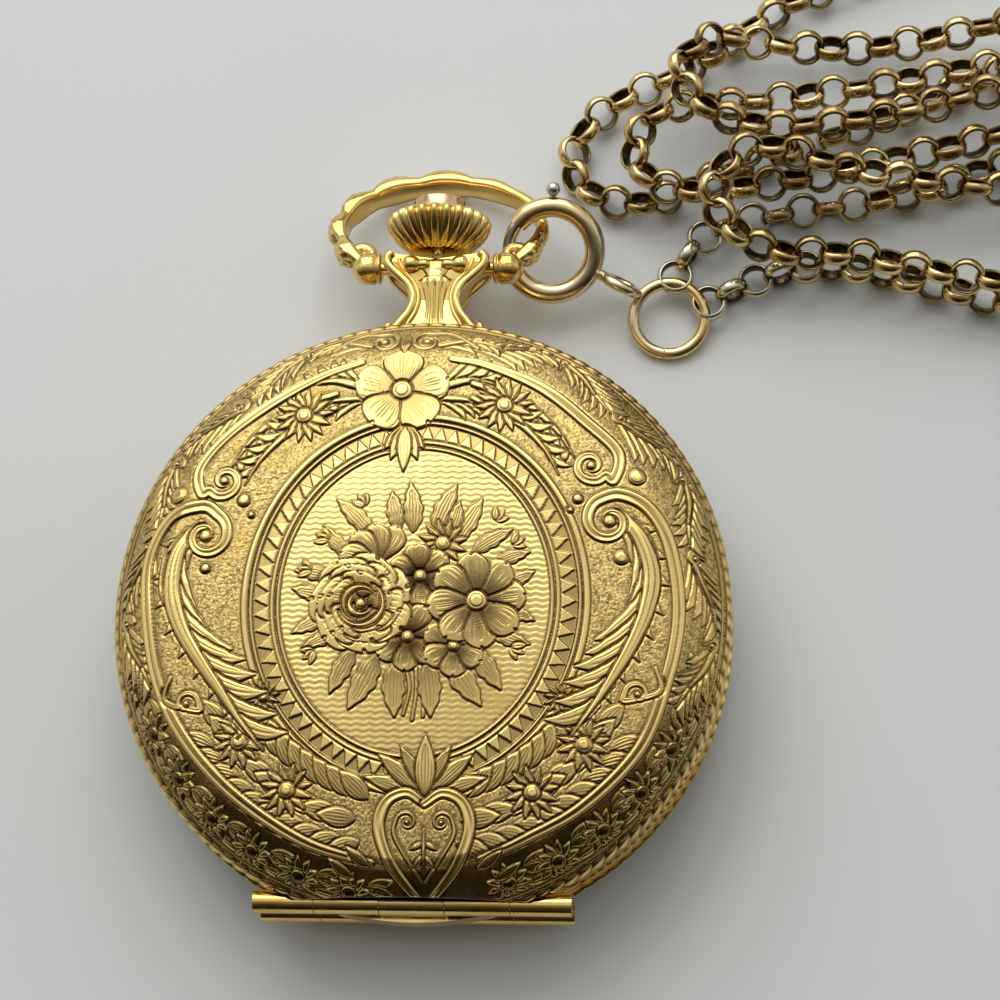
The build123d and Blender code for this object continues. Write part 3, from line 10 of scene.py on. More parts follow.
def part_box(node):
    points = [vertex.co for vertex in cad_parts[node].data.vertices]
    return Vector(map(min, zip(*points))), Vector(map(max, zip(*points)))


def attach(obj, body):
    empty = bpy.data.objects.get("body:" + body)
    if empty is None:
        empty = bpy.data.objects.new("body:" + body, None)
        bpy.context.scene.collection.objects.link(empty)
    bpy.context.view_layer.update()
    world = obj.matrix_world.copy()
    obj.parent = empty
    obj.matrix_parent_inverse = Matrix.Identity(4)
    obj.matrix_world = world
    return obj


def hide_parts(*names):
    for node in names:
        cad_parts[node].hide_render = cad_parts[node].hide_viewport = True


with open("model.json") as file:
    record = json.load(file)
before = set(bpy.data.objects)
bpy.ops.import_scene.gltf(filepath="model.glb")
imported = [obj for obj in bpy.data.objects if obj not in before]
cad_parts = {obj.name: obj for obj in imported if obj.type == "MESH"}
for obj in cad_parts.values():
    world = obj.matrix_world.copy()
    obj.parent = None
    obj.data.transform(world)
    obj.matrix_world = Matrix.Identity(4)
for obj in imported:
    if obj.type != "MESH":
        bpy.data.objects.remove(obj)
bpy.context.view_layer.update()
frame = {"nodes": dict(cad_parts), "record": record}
mm = 0.001

# Sizes of the watch, read from the frame
cover_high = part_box("front_cover")[1]
cover_radius = cover_high[0]
cover_top = cover_high[2]
hinge_y = -16.4 * mm
shoulder_radius = cover_radius - 3.0 * mm
shoulder_z = cover_top - 1.0 * mm
lip_z = 6.8 * mm
front_rim_z = 6.25 * mm
back_flat = 7.0 * mm
back_rise = 1.15 * mm
back_lip_z = 2.6 * mm
back_rim_z = 3.15 * mm
bevel_bulge = 0.32 * mm
skin_lift = 0.09 * mm
skin_least = 0.012 * mm
skin_grid = 720
back_grid = 480
plain_shield = 7.35 * mm
rope_levels = (5.72 * mm, 3.68 * mm)
rope_turns = 150

# Dial print
number_size = 3.1 * mm
number_reach = 9.6 * mm
number_drop = 0.6 * mm
track_reach = 12.2 * mm
seconds_y = -6.3 * mm
seconds_reach = 2.6 * mm

# Crown, neck and bow, read from the frame; a shape's rows are share along it, width and depth or cut
crown_low, crown_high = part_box("crown")
cap_low, cap_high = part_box("crown_cap")
crown_radius = crown_high[0]
crown_flutes = 24
crown_shape = ((0.0, 0.45, 0.02), (0.03, 0.52, 0.05), (0.12, 0.63, 0.09), (0.24, 0.77, 0.115),
               (0.36, 0.88, 0.125), (0.48, 0.955, 0.13), (0.58, 1.0, 0.13), (0.67, 1.02, 0.13),
               (0.74, 0.98, 0.13), (0.79, 0.89, 0.13), (0.83, 0.77, 0.12), (0.86, 0.64, 0.08),
               (0.88, 0.54, 0.0), (0.88, 0.40, 0.0))
cap_sink = 0.10 * mm
cap_root = 0.25 * mm
stem_z = 4.4 * mm
neck_low, neck_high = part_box("pendant_neck")
neck_base = cover_radius - 0.35 * mm
neck_vase = ((0.0, 1.60, 1.04), (0.05, 1.66, 1.16), (0.10, 1.42, 1.14), (0.15, 1.22, 1.10),
             (0.24, 1.06, 1.10), (0.36, 0.94, 1.12), (0.46, 1.02, 1.16), (0.56, 1.24, 1.24),
             (0.64, 1.50, 1.29), (0.68, 1.54, 1.28), (0.71, 1.30, 1.22), (0.74, 1.06, 1.14),
             (0.80, 1.40, 1.18), (0.88, 1.80, 1.16), (0.93, 1.8, 1.0))
neck_edge = ((0.0, 2.75), (0.07, 2.70), (0.13, 2.35), (0.20, 2.05), (0.30, 1.62), (0.42, 1.36), (0.52, 1.36),
             (0.64, 1.70), (0.76, 2.40), (0.86, 2.92), (0.94, 3.02), (1.0, 2.75))
neck_knob = ((0.01, 0.0), (0.26, 0.02), (0.44, 0.12), (0.52, 0.32), (0.52, 0.62), (0.42, 0.84), (0.28, 1.0),
             (0.32, 1.25), (0.28, 1.6))
pivot_y = 22.0 * mm
bow_drop = 26.0
bow_half = 5.75 * mm
bow_rise = 3.85 * mm
bow_centre = 3.25 * mm
bow_band = 0.8 * mm
bow_depth = 1.45 * mm
bow_start = -42.0
bow_leaves = 9
bow_ring_bearing = 18.0
bow_ring_spread = 52.0
bow_end_inner = 3.35 * mm
bow_end_outer = 5.15 * mm
bow_end_radius = 0.95 * mm
bow_end_shape = ((0.5, 0.0), (0.86, 0.0), (0.98, 0.05), (0.98, 0.10), (0.88, 0.14), (0.88, 0.17), (1, 0.22))
bow_inside = ((-1.0, 0.36), (-0.92, 0.06), (-0.5, 0.0), (0.0, -0.02), (0.5, 0.0), (0.92, 0.06), (1.0, 0.36))
tip_radius = 0.01 * mm

# Camera, from the photograph's view; its angles are azimuth, elevation and roll
camera_angles = (17.03, 72.51, -16.21)
camera_distance = 0.180
camera_target = (0.00416, 0.00740, 0.005)
camera_lens = 111.6
camera_sensor = 36.0

# Lamp and room: share from front to back, brightness, warmth
key_place = (-0.06, 0.30, 0.24)
key_side = 0.42
key_energy = 1.0
key_colour = (1.0, 0.99, 0.97)
room_levels = ((0.0, 0.02, 0.5), (0.20, 0.06, 0.4), (0.42, 0.32, 0.15), (0.52, 0.82, 0.05),
               (0.60, 0.94, 0.02), (0.80, 0.92, 0.0), (1.0, 0.50, 0.0))
room_horizon = 0.60
table_half = 1.2

# Necklace
link_pitch = 1.56 * mm
link_outer = 2.26 * mm
link_wall = 0.31 * mm
link_width = 0.76 * mm
link_steps = 26
link_section = ((0.0, -0.62), (0.0, 0.62), (0.10, 0.90), (0.36, 1.0), (0.70, 0.80), (0.94, 0.42), (1.0, 0.0),
                (0.94, -0.42), (0.70, -0.80), (0.36, -1.0), (0.10, -0.90))
links_from_end = 12
link_roll = 14.0
link_tip = 6.0
necklace_inset = 0.42 * mm
necklace_points_mm = [
    (13.93, 22.20, 1.24),
    (15.0, 25.2, 1.2), (19.5, 26.6, 1.1), (28.0, 27.6, 1.1), (37.0, 31.0, 1.1), (46.0, 33.4, 1.1),
    (54.0, 35.2, 1.1), (59.5, 38.8, 1.1), (58.5, 44.2, 1.1), (51.5, 43.6, 1.1), (43.5, 41.0, 1.1),
    (34.0, 36.0, 1.1), (25.0, 32.2, 1.1), (16.5, 29.2, 1.1), (11.2, 26.8, 1.1), (7.1, 29.2, 1.1),
    (8.9, 33.6, 1.1), (14.5, 36.0, 1.1), (20.5, 40.6, 1.1), (29.0, 44.2, 1.1), (39.0, 47.6, 1.1),
    (48.0, 49.8, 1.1), (56.0, 50.2, 1.4), (61.5, 46.8, 2.4), (59.0, 40.8, 3.6), (51.5, 38.6, 1.6),
    (44.0, 36.6, 1.9), (34.5, 35.6, 3.4), (25.0, 33.8, 3.3), (17.5, 33.4, 2.2), (13.2, 33.2, 3.0),
    (11.0, 30.0, 3.3), (13.5, 26.9, 3.3), (21.5, 28.0, 3.3), (30.0, 29.8, 3.3), (39.5, 32.6, 3.3),
    (47.5, 33.4, 3.3), (55.0, 33.6, 3.3), (60.5, 35.4, 3.5), (61.0, 40.6, 5.5), (54.5, 42.6, 5.2),
    (46.0, 41.6, 3.5), (36.5, 38.9, 3.3), (27.5, 37.4, 1.3), (20.5, 37.2, 2.1), (15.6, 37.4, 4.1),
    (13.8, 33.5, 5.4), (18.0, 30.8, 4.3), (26.5, 31.4, 4.4), (35.0, 33.5, 5.2), (44.0, 33.2, 5.5),
    (52.5, 32.2, 5.5), (58.5, 30.0, 3.7), (58.0, 24.8, 3.1), (52.0, 22.4, 3.5), (45.0, 21.3, 3.3),
    (38.5, 21.0, 3.3), (33.0, 21.4, 3.3), (28.0, 22.4, 3.3), (24.0, 23.4, 3.3), (19.6, 23.0, 3.6),
    (15.6, 25.8, 5.4), (18.4, 29.8, 5.9), (24.0, 27.8, 5.5), (30.0, 27.2, 4.4), (36.5, 27.6, 2.0),
    (43.0, 28.2, 1.1), (49.5, 28.4, 1.1), (55.0, 26.0, 1.1), (54.5, 20.8, 1.1), (48.0, 19.4, 1.1),
    (41.5, 19.6, 1.1), (34.5, 20.6, 1.1), (28.5, 22.4, 1.1), (22.8, 23.6, 1.1), (18.6, 22.4, 1.1),
    (15.72, 20.82, 0.96),
]
necklace_points = [Vector(point) * mm for point in necklace_points_mm]

# Engraving, in millimetres on the cover laid flat; way is -1 on the left and 1 on the right
soft_edge = 0.10
cut_width = 0.09
cut_depth = 0.05
vein_depth = 0.035
map_half = 20.0
map_step = 0.04
pit_depth = 0.009
border_reach = 16.9
field_oval = (7.6, 8.8)
medallion_oval = (9.9, 11.1)
saw_oval = (8.68, 9.88)
saw_teeth = 70
saw_half = 0.50
medallion_rings = ((7.72, 8.92, 0.24, 0.07), (8.06, 9.26, 0.26, 0.06), (9.28, 10.48, 0.22, 0.06),
                   (9.66, 10.86, 0.42, 0.11))
back_rings = ((7.75, 7.75, 0.30, 0.10), (8.3, 8.3, 0.18, 0.10), (15.15, 15.15, 0.36, 0.10))
bouquet_stems = (((0.1, -3.0), (0.3, -5.0), (0.1, -6.9)), ((0.9, -3.0), (0.8, -5.0), (0.7, -6.7)),
                 ((-0.6, -3.0), (-0.1, -5.0), (-0.4, -6.6)))
# Place, bearing, length, width
bouquet_leaves = (
    (-2.4, 3.6, 128, 3.2, 1.15), (-0.9, 4.0, 112, 2.4, 1.1), (-0.2, 3.8, 88, 3.1, 1.2),
    (1.0, 3.8, 74, 3.2, 1.2), (2.0, 3.2, 52, 3.2, 1.2), (3.1, 2.6, 40, 2.8, 1.0), (1.9, 3.8, 66, 2.0, 0.9),
    (-3.6, 2.4, 140, 2.6, 0.95), (-4.6, 1.2, 160, 2.3, 1.0), (-4.8, 0.2, 178, 2.2, 1.0),
    (-4.6, -1.0, 196, 2.5, 1.0), (-4.2, -1.8, 214, 2.3, 0.9), (-3.2, -2.8, 236, 3.0, 1.2),
    (-2.0, -3.2, 250, 3.5, 1.5), (-0.9, -3.6, 264, 3.2, 1.4), (0.8, -3.6, 282, 3.2, 1.4),
    (2.0, -3.2, 298, 3.5, 1.5), (3.2, -2.8, 314, 3.0, 1.3), (4.4, -1.8, 332, 2.3, 1.0),
    (5.0, -0.6, 352, 1.9, 0.9), (5.0, 0.9, 14, 1.9, 0.9), (4.4, 2.0, 30, 2.2, 0.9))
bouquet_buds = ((-5.0, 3.4, 150), (5.4, 3.2, 30), (-5.9, 1.6, 165), (-5.5, -3.0, 215), (5.5, -2.7, 330),
                (-3.0, 5.4, 120), (4.4, 4.6, 50))
# Place, radius, petals, turn, height, width, centre, veins, shade
bouquet_flowers = (
    (1.5, 3.2, 1.45, 12, 12, 0.13, 0.9, 0.30, 1, 0.6), (0.3, 1.3, 1.9, 6, 40, 0.15, 1.1, 0.20, 5, 1.1),
    (-0.3, -2.2, 2.0, 7, 10, 0.14, 1.1, 0.18, 5, 1.1), (2.3, -2.7, 1.8, 6, 30, 0.14, 1.1, 0.20, 5, 0.9),
    (3.5, -0.1, 2.8, 8, 8, 0.17, 1.2, 0.22, 6, 0.85))
# Line from its foot, width, side; for the sprays beside the top flower also the height
top_plumes = ((((0, 12.6), (1.8, 13.1), (3.4, 12.9)), 1.6, 1),
              (((0, 12.0), (1.6, 11.9), (3.0, 11.6)), 1.3, -1),
              (((0, 15.4), (1.8, 15.8), (3.6, 15.4)), 1.3, -1))
# Bearing, length, width
top_petals = ((90, 2.6, 2.4), (165, 2.8, 2.3), (15, 2.8, 2.3), (232, 2.7, 2.6), (308, 2.7, 2.6))
palmette = ((232, 1.9, 0.7), (308, 1.9, 0.7), (250, 2.3, 0.75), (290, 2.3, 0.75), (270, 2.9, 0.85))
spray_plumes = ((((-1.8, 1.3), (0.9, 0.3), (2.9, -1.4), (4.1, -3.2)), 1.7, 0.13, -1),
                (((-1.8, 0.4), (0.6, -0.9), (2.3, -2.6), (3.2, -4.2)), 1.5, 0.12, 1))
scroll_bosses = ((-13.9, 6.4, 0.55), (12.3, 7.4, 0.52), (-10.0, 5.9, 0.42), (-9.5, 5.0, 0.24),
                 (9.0, 6.0, 0.34), (8.6, 5.3, 0.22), (11.5, 2.6, 0.46), (-12.0, 1.9, 0.34))
# Way, line, place of the curl, its first bearing
upper_scrolls = (
    (-1, ((-3.6, 14.3), (-5.8, 13.5), (-8.9, 11.7), (-11.4, 9.7), (-12.7, 7.9), (-12.5, 6.4)),
     (-11.2, 7.1), 215),
    (1, ((1.6, 14.5), (3.6, 14.1), (6.8, 12.7), (9.4, 10.6), (11.2, 8.8), (11.0, 7.2)), (9.7, 8.0), -35))
# Way, ridge, place of its curl, the curl's first bearing, acanthus spine, place of the small curl
side_scrolls = (
    (-1, ((-2.0, -14.7), (-5.9, -13.5), (-10.0, -10.8), (-12.9, -7.6), (-14.5, -4.4), (-15.3, -0.5),
          (-15.4, 2.6), (-14.3, 4.9), (-12.4, 5.6)), (-12.1, 3.8), 60,
     ((-12.4, 4.4), (-13.6, 3.0), (-13.9, 0.8), (-13.3, -1.4), (-12.1, -3.4), (-10.8, -5.2), (-9.6, -6.9),
      (-8.2, -8.6)), (-12.7, -5.9)),
    (1, ((4.0, -14.4), (6.4, -13.3), (9.6, -11.4), (12.6, -8.2), (14.0, -4.6), (14.7, -0.6), (14.2, 3.3),
         (13.0, 5.5), (11.4, 6.3)), (10.8, 4.7), 115,
     ((11.2, 5.2), (12.5, 3.8), (13.2, 1.7), (12.9, -0.5), (12.1, -2.5), (11.1, -4.3), (10.1, -5.9),
      (8.9, -7.6)), (12.5, -5.2)))
heart_x = 0.9
heart_outline = ((0.0, -11.5), (1.0, -10.9), (2.1, -11.4), (2.5, -12.8), (1.9, -14.6), (0.9, -15.9),
                 (0.0, -16.7))
# Across from the heart's middle, height on the cover, turn, length, width
heart_leaves = ((0.5, -11.0, 66, 3.1, 0.95), (0.4, -10.8, 42, 3.0, 1.0), (0.2, -10.6, 21, 2.6, 0.8))


# Small helpers

def polar(radius, degrees, x=0.0, y=0.0):
    """Give the point at a radius and a bearing about a centre."""
    angle = math.radians(degrees)
    return (x + radius * math.cos(angle), y + radius * math.sin(angle))


def new_object(name, data):
    """Put an object into the scene."""
    piece = bpy.data.objects.new(name, data)
    bpy.context.collection.objects.link(piece)
    return piece


def mesh_piece(name, points, faces, body, material, smooth=True):
    """Make a mesh object that rides on a body."""
    mesh = bpy.data.meshes.new(name)
    mesh.from_pydata([tuple(point) for point in points], [], faces)
    mesh.update()
    if smooth:
        mesh.polygons.foreach_set("use_smooth", [True] * len(mesh.polygons))
    mesh.materials.append(material)
    piece = new_object(name, mesh)
    if body:
        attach(piece, body)
    return piece


def set_field(mesh, name, values):
    """Give a mesh a value at each of its points."""
    mesh.attributes.new(name, "FLOAT", "POINT").data.foreach_set("value", values)


def grid_faces(rows, columns, closed_rows=False, closed_columns=False):
    """List the quads of a grid of points laid row by row."""
    faces = []
    for row in range(rows if closed_rows else rows - 1):
        for column in range(columns if closed_columns else columns - 1):
            across = (column + 1) % columns
            down = (row + 1) % rows
            faces.append((row * columns + column, row * columns + across, down * columns + across,
                          down * columns + column))
    return faces


def capped_faces(rows, columns, way=-1):
    """List the faces of a tube laid ring by ring with closed ends; way turns the ends over."""
    ends = [tuple(range(columns))[::way], tuple(range((rows - 1) * columns, rows * columns))[::-way]]
    return grid_faces(rows, columns, False, True) + ends


def swept(points, radii, sides, section=None):
    """Sweep a section along points, scaled by the radii, and give points and faces."""
    line = [Vector(point) for point in points]
    last = len(line) - 1
    ahead = [(line[min(index + 1, last)] - line[max(index - 1, 0)]).normalized() for index in range(last + 1)]
    side = ahead[0].orthogonal().normalized()
    ring = section or [polar(1.0, 360 * index / sides) for index in range(sides)]
    out = []
    for point, along, radius in zip(line, ahead, radii):
        side = (side - along * side.dot(along)).normalized()
        up = along.cross(side)
        out.extend(point + side * (a * radius) + up * (b * radius) for a, b in ring)
    return out, capped_faces(last + 1, len(ring))


def turned(profile, count, place, swell=None):
    """Turn a profile of radius and height round an axis given by a matrix."""
    out = []
    for row, (radius, height) in enumerate(profile):
        for index in range(count):
            angle = 2 * math.pi * index / count
            reach = radius * (swell(row, angle) if swell else 1.0)
            out.append(place @ Vector((reach * math.cos(angle), reach * math.sin(angle), height)))
    return out, capped_faces(len(profile), count)


def join_parts(parts):
    """Put several lists of points and faces together."""
    points = []
    faces = []
    for more, quads in parts:
        start = len(points)
        points.extend(more)
        faces.extend(tuple(index + start for index in quad) for quad in quads)
    return points, faces


def turned_about(place, degrees, axis):
    """Give the placing of a form at a place, turned about an axis."""
    return Matrix.Translation(place) @ Matrix.Rotation(math.radians(degrees), 4, axis)


def line_lengths(rows):
    """Give the length along a flat line or profile at each of its points."""
    steps = np.hypot(np.diff(rows[:, 0]), np.diff(rows[:, 1]))
    return np.concatenate([[0], np.cumsum(steps)])


# Camera, lamp, room and table

def add_camera():
    """Place the camera where the photograph was taken from."""
    azimuth, elevation, roll = [math.radians(value) for value in camera_angles]
    back = Vector((math.sin(azimuth) * math.cos(elevation), -math.cos(azimuth) * math.cos(elevation),
                   math.sin(elevation)))
    level = (Vector((0, 0, 1)) - back * back.z).normalized()
    side = level.cross(back)
    right = side * math.cos(roll) + level * math.sin(roll)
    up = level * math.cos(roll) - side * math.sin(roll)
    data = bpy.data.cameras.new("camera")
    data.sensor_width = camera_sensor
    data.lens = camera_lens
    data.clip_start = 0.01
    camera = new_object("camera", data)
    turn = Matrix((right, up, back)).transposed().to_4x4()
    camera.matrix_world = Matrix.Translation(Vector(camera_target) + back * camera_distance) @ turn
    bpy.context.scene.camera = camera


def add_key_lamp():
    """Add the one large soft lamp, aimed at the watch."""
    data = bpy.data.lights.new("key", "AREA")
    data.shape = "RECTANGLE"
    data.size = key_side
    data.size_y = key_side
    data.energy = key_energy
    data.color = key_colour
    lamp = new_object("key", data)
    lamp.location = key_place
    lamp.rotation_euler = (-Vector(key_place)).to_track_quat("-Z", "Y").to_euler()


def add_world():
    """Light the scene with a soft room: bright behind and above, dim and warm low down in front."""
    world = bpy.data.worlds.new("room")
    bpy.context.scene.world = world
    room = NodeTree(world)
    place = room.add("ShaderNodeTexCoord", {}).outputs["Generated"]
    split = room.add("ShaderNodeSeparateXYZ", {0: place}).outputs
    ramp = room.add("ShaderNodeValToRGB", {0: room.spread(split["Y"], 0, 1, -1, 1)})
    ramp.color_ramp.interpolation = "EASE"
    elements = ramp.color_ramp.elements
    elements.remove(elements[1])
    for share, level, warmth in room_levels:
        element = elements[0] if share == 0.0 else elements.new(share)
        element.color = (level, level * (1 - warmth * 0.35), level * (1 - warmth), 1)
    height = room.spread(split["Z"], room_horizon, 1, 0.0, 0.75)
    clouds = room.add("ShaderNodeTexNoise", {"Scale": 2.4, "Detail": 1.5, "Vector": place})
    patches = room.spread(clouds.outputs["Fac"], 0.66, 1.25, 0.38, 0.62)
    level = room.add("ShaderNodeMath", {0: height, 1: patches}, operation="MULTIPLY").outputs[0]
    shade = room.add("ShaderNodeVectorMath", {0: ramp.outputs["Color"], "Scale": level}, operation="SCALE")
    background = room.nodes["Background"].inputs
    room.put(background["Color"], shade.outputs[0])
    room.put(background["Strength"], 1.0)


def add_floor(material):
    """Lay the pale table under the watch."""
    corners = [(x * table_half, y * table_half, 0) for x, y in ((-1, -1), (1, -1), (1, 1), (-1, 1))]
    floor = mesh_piece("floor", corners, [(0, 1, 2, 3)], None, material, smooth=False)


# Materials

class NodeTree:
    """A node tree being built."""

    def __init__(self, owner):
        owner.use_nodes = True
        self.nodes = owner.node_tree.nodes
        self.links = owner.node_tree.links

    def put(self, socket, value):
        """Link a value to a socket where it comes from a node, or else set it."""
        if isinstance(value, bpy.types.NodeSocket):
            self.links.new(value, socket)
        else:
            socket.default_value = value

    def add(self, kind, inputs, **settings):
        """Add a node with its settings and its inputs."""
        node = self.nodes.new(kind)
        for name, value in settings.items():
            setattr(node, name, value)
        for name, value in inputs.items():
            self.put(node.inputs[name], value)
        return node

    def texture(self, kind, inputs, stretch=(1, 1, 1), **settings):
        """Add a texture in the piece's own coordinates."""
        place = self.add("ShaderNodeTexCoord", {}).outputs["Object"]
        mapping = self.add("ShaderNodeMapping", {0: place, "Scale": stretch})
        return self.add(kind, {"Vector": mapping.outputs[0], **inputs}, **settings)

    def noise(self, scale, detail, stretch=(1, 1, 1)):
        """Add a noise texture and give its value."""
        return self.texture("ShaderNodeTexNoise", {"Scale": scale, "Detail": detail}, stretch).outputs["Fac"]

    def spread(self, source, low, high, start=0.35, end=0.65):
        """Map a texture's value to a range."""
        inputs = {"From Min": start, "From Max": end, "To Min": low, "To Max": high, "Value": source}
        return self.add("ShaderNodeMapRange", inputs).outputs["Result"]

    def mix(self, factor, *colours):
        """Mix two colours by a factor."""
        first, second = [(*colour, 1) if isinstance(colour, tuple) else colour for colour in colours]
        inputs = {"A": first, "B": second, "Factor": factor}
        return self.add("ShaderNodeMix", inputs, data_type="RGBA").outputs["Result"]

    def field(self, name):
        """Read a value that the mesh carries at its points."""
        return self.add("ShaderNodeAttribute", {}, attribute_name=name).outputs["Fac"]

    def bump(self, source, strength, depth):
        """Raise the surface's fine grain from a texture."""
        inputs = {"Strength": strength, "Distance": depth, "Height": source}
        return self.add("ShaderNodeBump", inputs).outputs["Normal"]


class Surface(NodeTree):
    """A material being built round its shader."""

    def __init__(self, name):
        self.material = bpy.data.materials.new(name)
        super().__init__(self.material)

    def dress(self, inputs):
        """Set or link the shader's inputs and give the material."""
        for name, value in inputs.items():
            self.put(self.nodes["Principled BSDF"].inputs[name], value)
        return self.material


def worn_metal(name, colour, dark, roughness, scale=900.0, grain=0.004, spread=0.1):
    """Make a metal with slight patches, fine scratches and an uneven polish."""
    look = Surface(name)
    patches = look.spread(look.noise(scale * 0.35, 6), 0, 1, 0.38, 0.66)
    polish = look.spread(look.noise(scale, 5), max(0.04, roughness - spread), roughness + spread)
    scratches = look.noise(scale * 5, 3, (1, 0.06, 1))
    return look.dress({"Metallic": 1.0, "Base Color": look.mix(patches, colour, dark), "Roughness": polish,
                       "Normal": look.bump(scratches, 0.12, grain * mm)})


def engraved_gold(name, colour, hollow, shadow):
    """Make engraved gold: bright on the raised work, matt and warm in the ground, and dark where the hollow
    field marks engraved cuts and painted shade.
    """
    look = Surface(name)
    ground = look.field("ground")
    # The hollow field darkens the gold towards the dark colour: engraved cuts, and painted shade in the
    # recesses and shaded areas.
    tint = look.mix(look.field("hollow"), colour, hollow)
    patches = look.spread(look.noise(420.0, 6), 0, 0.35, 0.45, 0.75)
    grains = look.texture("ShaderNodeTexVoronoi", {"Scale": 9000.0}).outputs["Distance"]
    height = look.add("ShaderNodeMath", {0: grains, 1: ground}, operation="MULTIPLY").outputs[0]
    return look.dress({"Metallic": 1.0, "Base Color": look.mix(patches, tint, shadow),
                       "Roughness": look.spread(ground, 0.17, 0.42, 0.0, 1.0),
                       "Normal": look.bump(height, 0.5, 0.02 * mm)})


def floor_paper():
    """Make the pale matt table."""
    look = Surface("table")
    return look.dress({"Base Color": look.mix(look.noise(30.0, 3), (0.68, 0.70, 0.70), (0.72, 0.74, 0.74)),
                       "Roughness": 0.55, "Normal": look.bump(look.noise(4000.0, 2), 0.1, 0.05 * mm)})


def link_brass(name):
    """Make the chain's brass: bright on the domed faces, dark with painted shade on the links' inner faces,
    silvery near the ends.
    """
    look = Surface(name)
    patches = look.spread(look.noise(260.0, 6), 0, 1, 0.40, 0.62)
    base = look.mix(patches, (0.74, 0.57, 0.27), (0.30, 0.20, 0.08))
    tone = look.mix(look.field("fresh"), base, (0.66, 0.60, 0.47))
    # Painted shade: the hollow field darkens the inner faces of the links towards near-black brown.
    deep = look.spread(look.field("hollow"), 0, 0.92, 0.45, 1.0)
    return look.dress({"Metallic": 1.0, "Base Color": look.mix(deep, tone, (0.045, 0.028, 0.012)),
                       "Roughness": look.spread(look.noise(1500.0, 5), 0.08, 0.26),
                       "Normal": look.bump(look.noise(6000.0, 3), 0.15, 0.006 * mm)})


def clear_glass(name):
    """Make the clear glass over the dial."""
    look = Surface(name)
    return look.dress({"Base Color": (0.97, 0.985, 0.98, 1), "Transmission Weight": 1.0, "IOR": 1.45,
                       "Roughness": look.spread(look.noise(300.0, 3), 0.01, 0.035)})


def ruby_glass(name):
    """Make the red jewel stone."""
    look = Surface(name)
    return look.dress({"Base Color": look.mix(look.noise(900.0, 3), (0.60, 0.02, 0.08), (0.40, 0.01, 0.06)),
                       "Transmission Weight": 0.3,
                       "Roughness": look.spread(look.noise(1400.0, 2), 0.04, 0.12)})


def white_enamel(name):
    """Make the white fired enamel of the dial."""
    look = Surface(name)
    tone = look.noise(200.0, 4)
    return look.dress({"Base Color": look.mix(tone, (0.84, 0.83, 0.79), (0.88, 0.875, 0.84)),
                       "Coat Weight": 0.6, "Roughness": look.spread(look.noise(700.0, 3), 0.12, 0.22),
                       "Normal": look.bump(tone, 0.08, 0.01 * mm)})


def striped_nickel(name):
    """Make nickel plates with broad polished stripes."""
    look = Surface(name)
    stripes = look.texture("ShaderNodeTexWave", {"Scale": 210.0, "Distortion": 0.4},
                           bands_direction="DIAGONAL").outputs["Fac"]
    return look.dress({"Base Color": look.mix(stripes, (0.74, 0.72, 0.67), (0.60, 0.585, 0.55)),
                       "Metallic": 1.0,
                       "Roughness": look.spread(look.noise(2600.0, 3, (1, 0.1, 1)), 0.20, 0.36),
                       "Normal": look.bump(stripes, 0.25, 0.02 * mm)})


def ink(name):
    """Make the black fired ink of the dial's numbers."""
    look = Surface(name)
    tone = look.noise(2500.0, 3)
    return look.dress({"Base Color": look.mix(tone, (0.012, 0.012, 0.014), (0.03, 0.03, 0.032)),
                       "Roughness": look.spread(tone, 0.20, 0.32)})


def dress_nodes(materials):
    """Give every CAD node the material of its record's slot."""
    for entry in frame["record"]["subparts"]:
        for place in frame["nodes"][entry["node"]].material_slots:
            place.material = materials[entry["material_slot"]]


# Relief: a height map in millimetres that the covers' skins are raised by

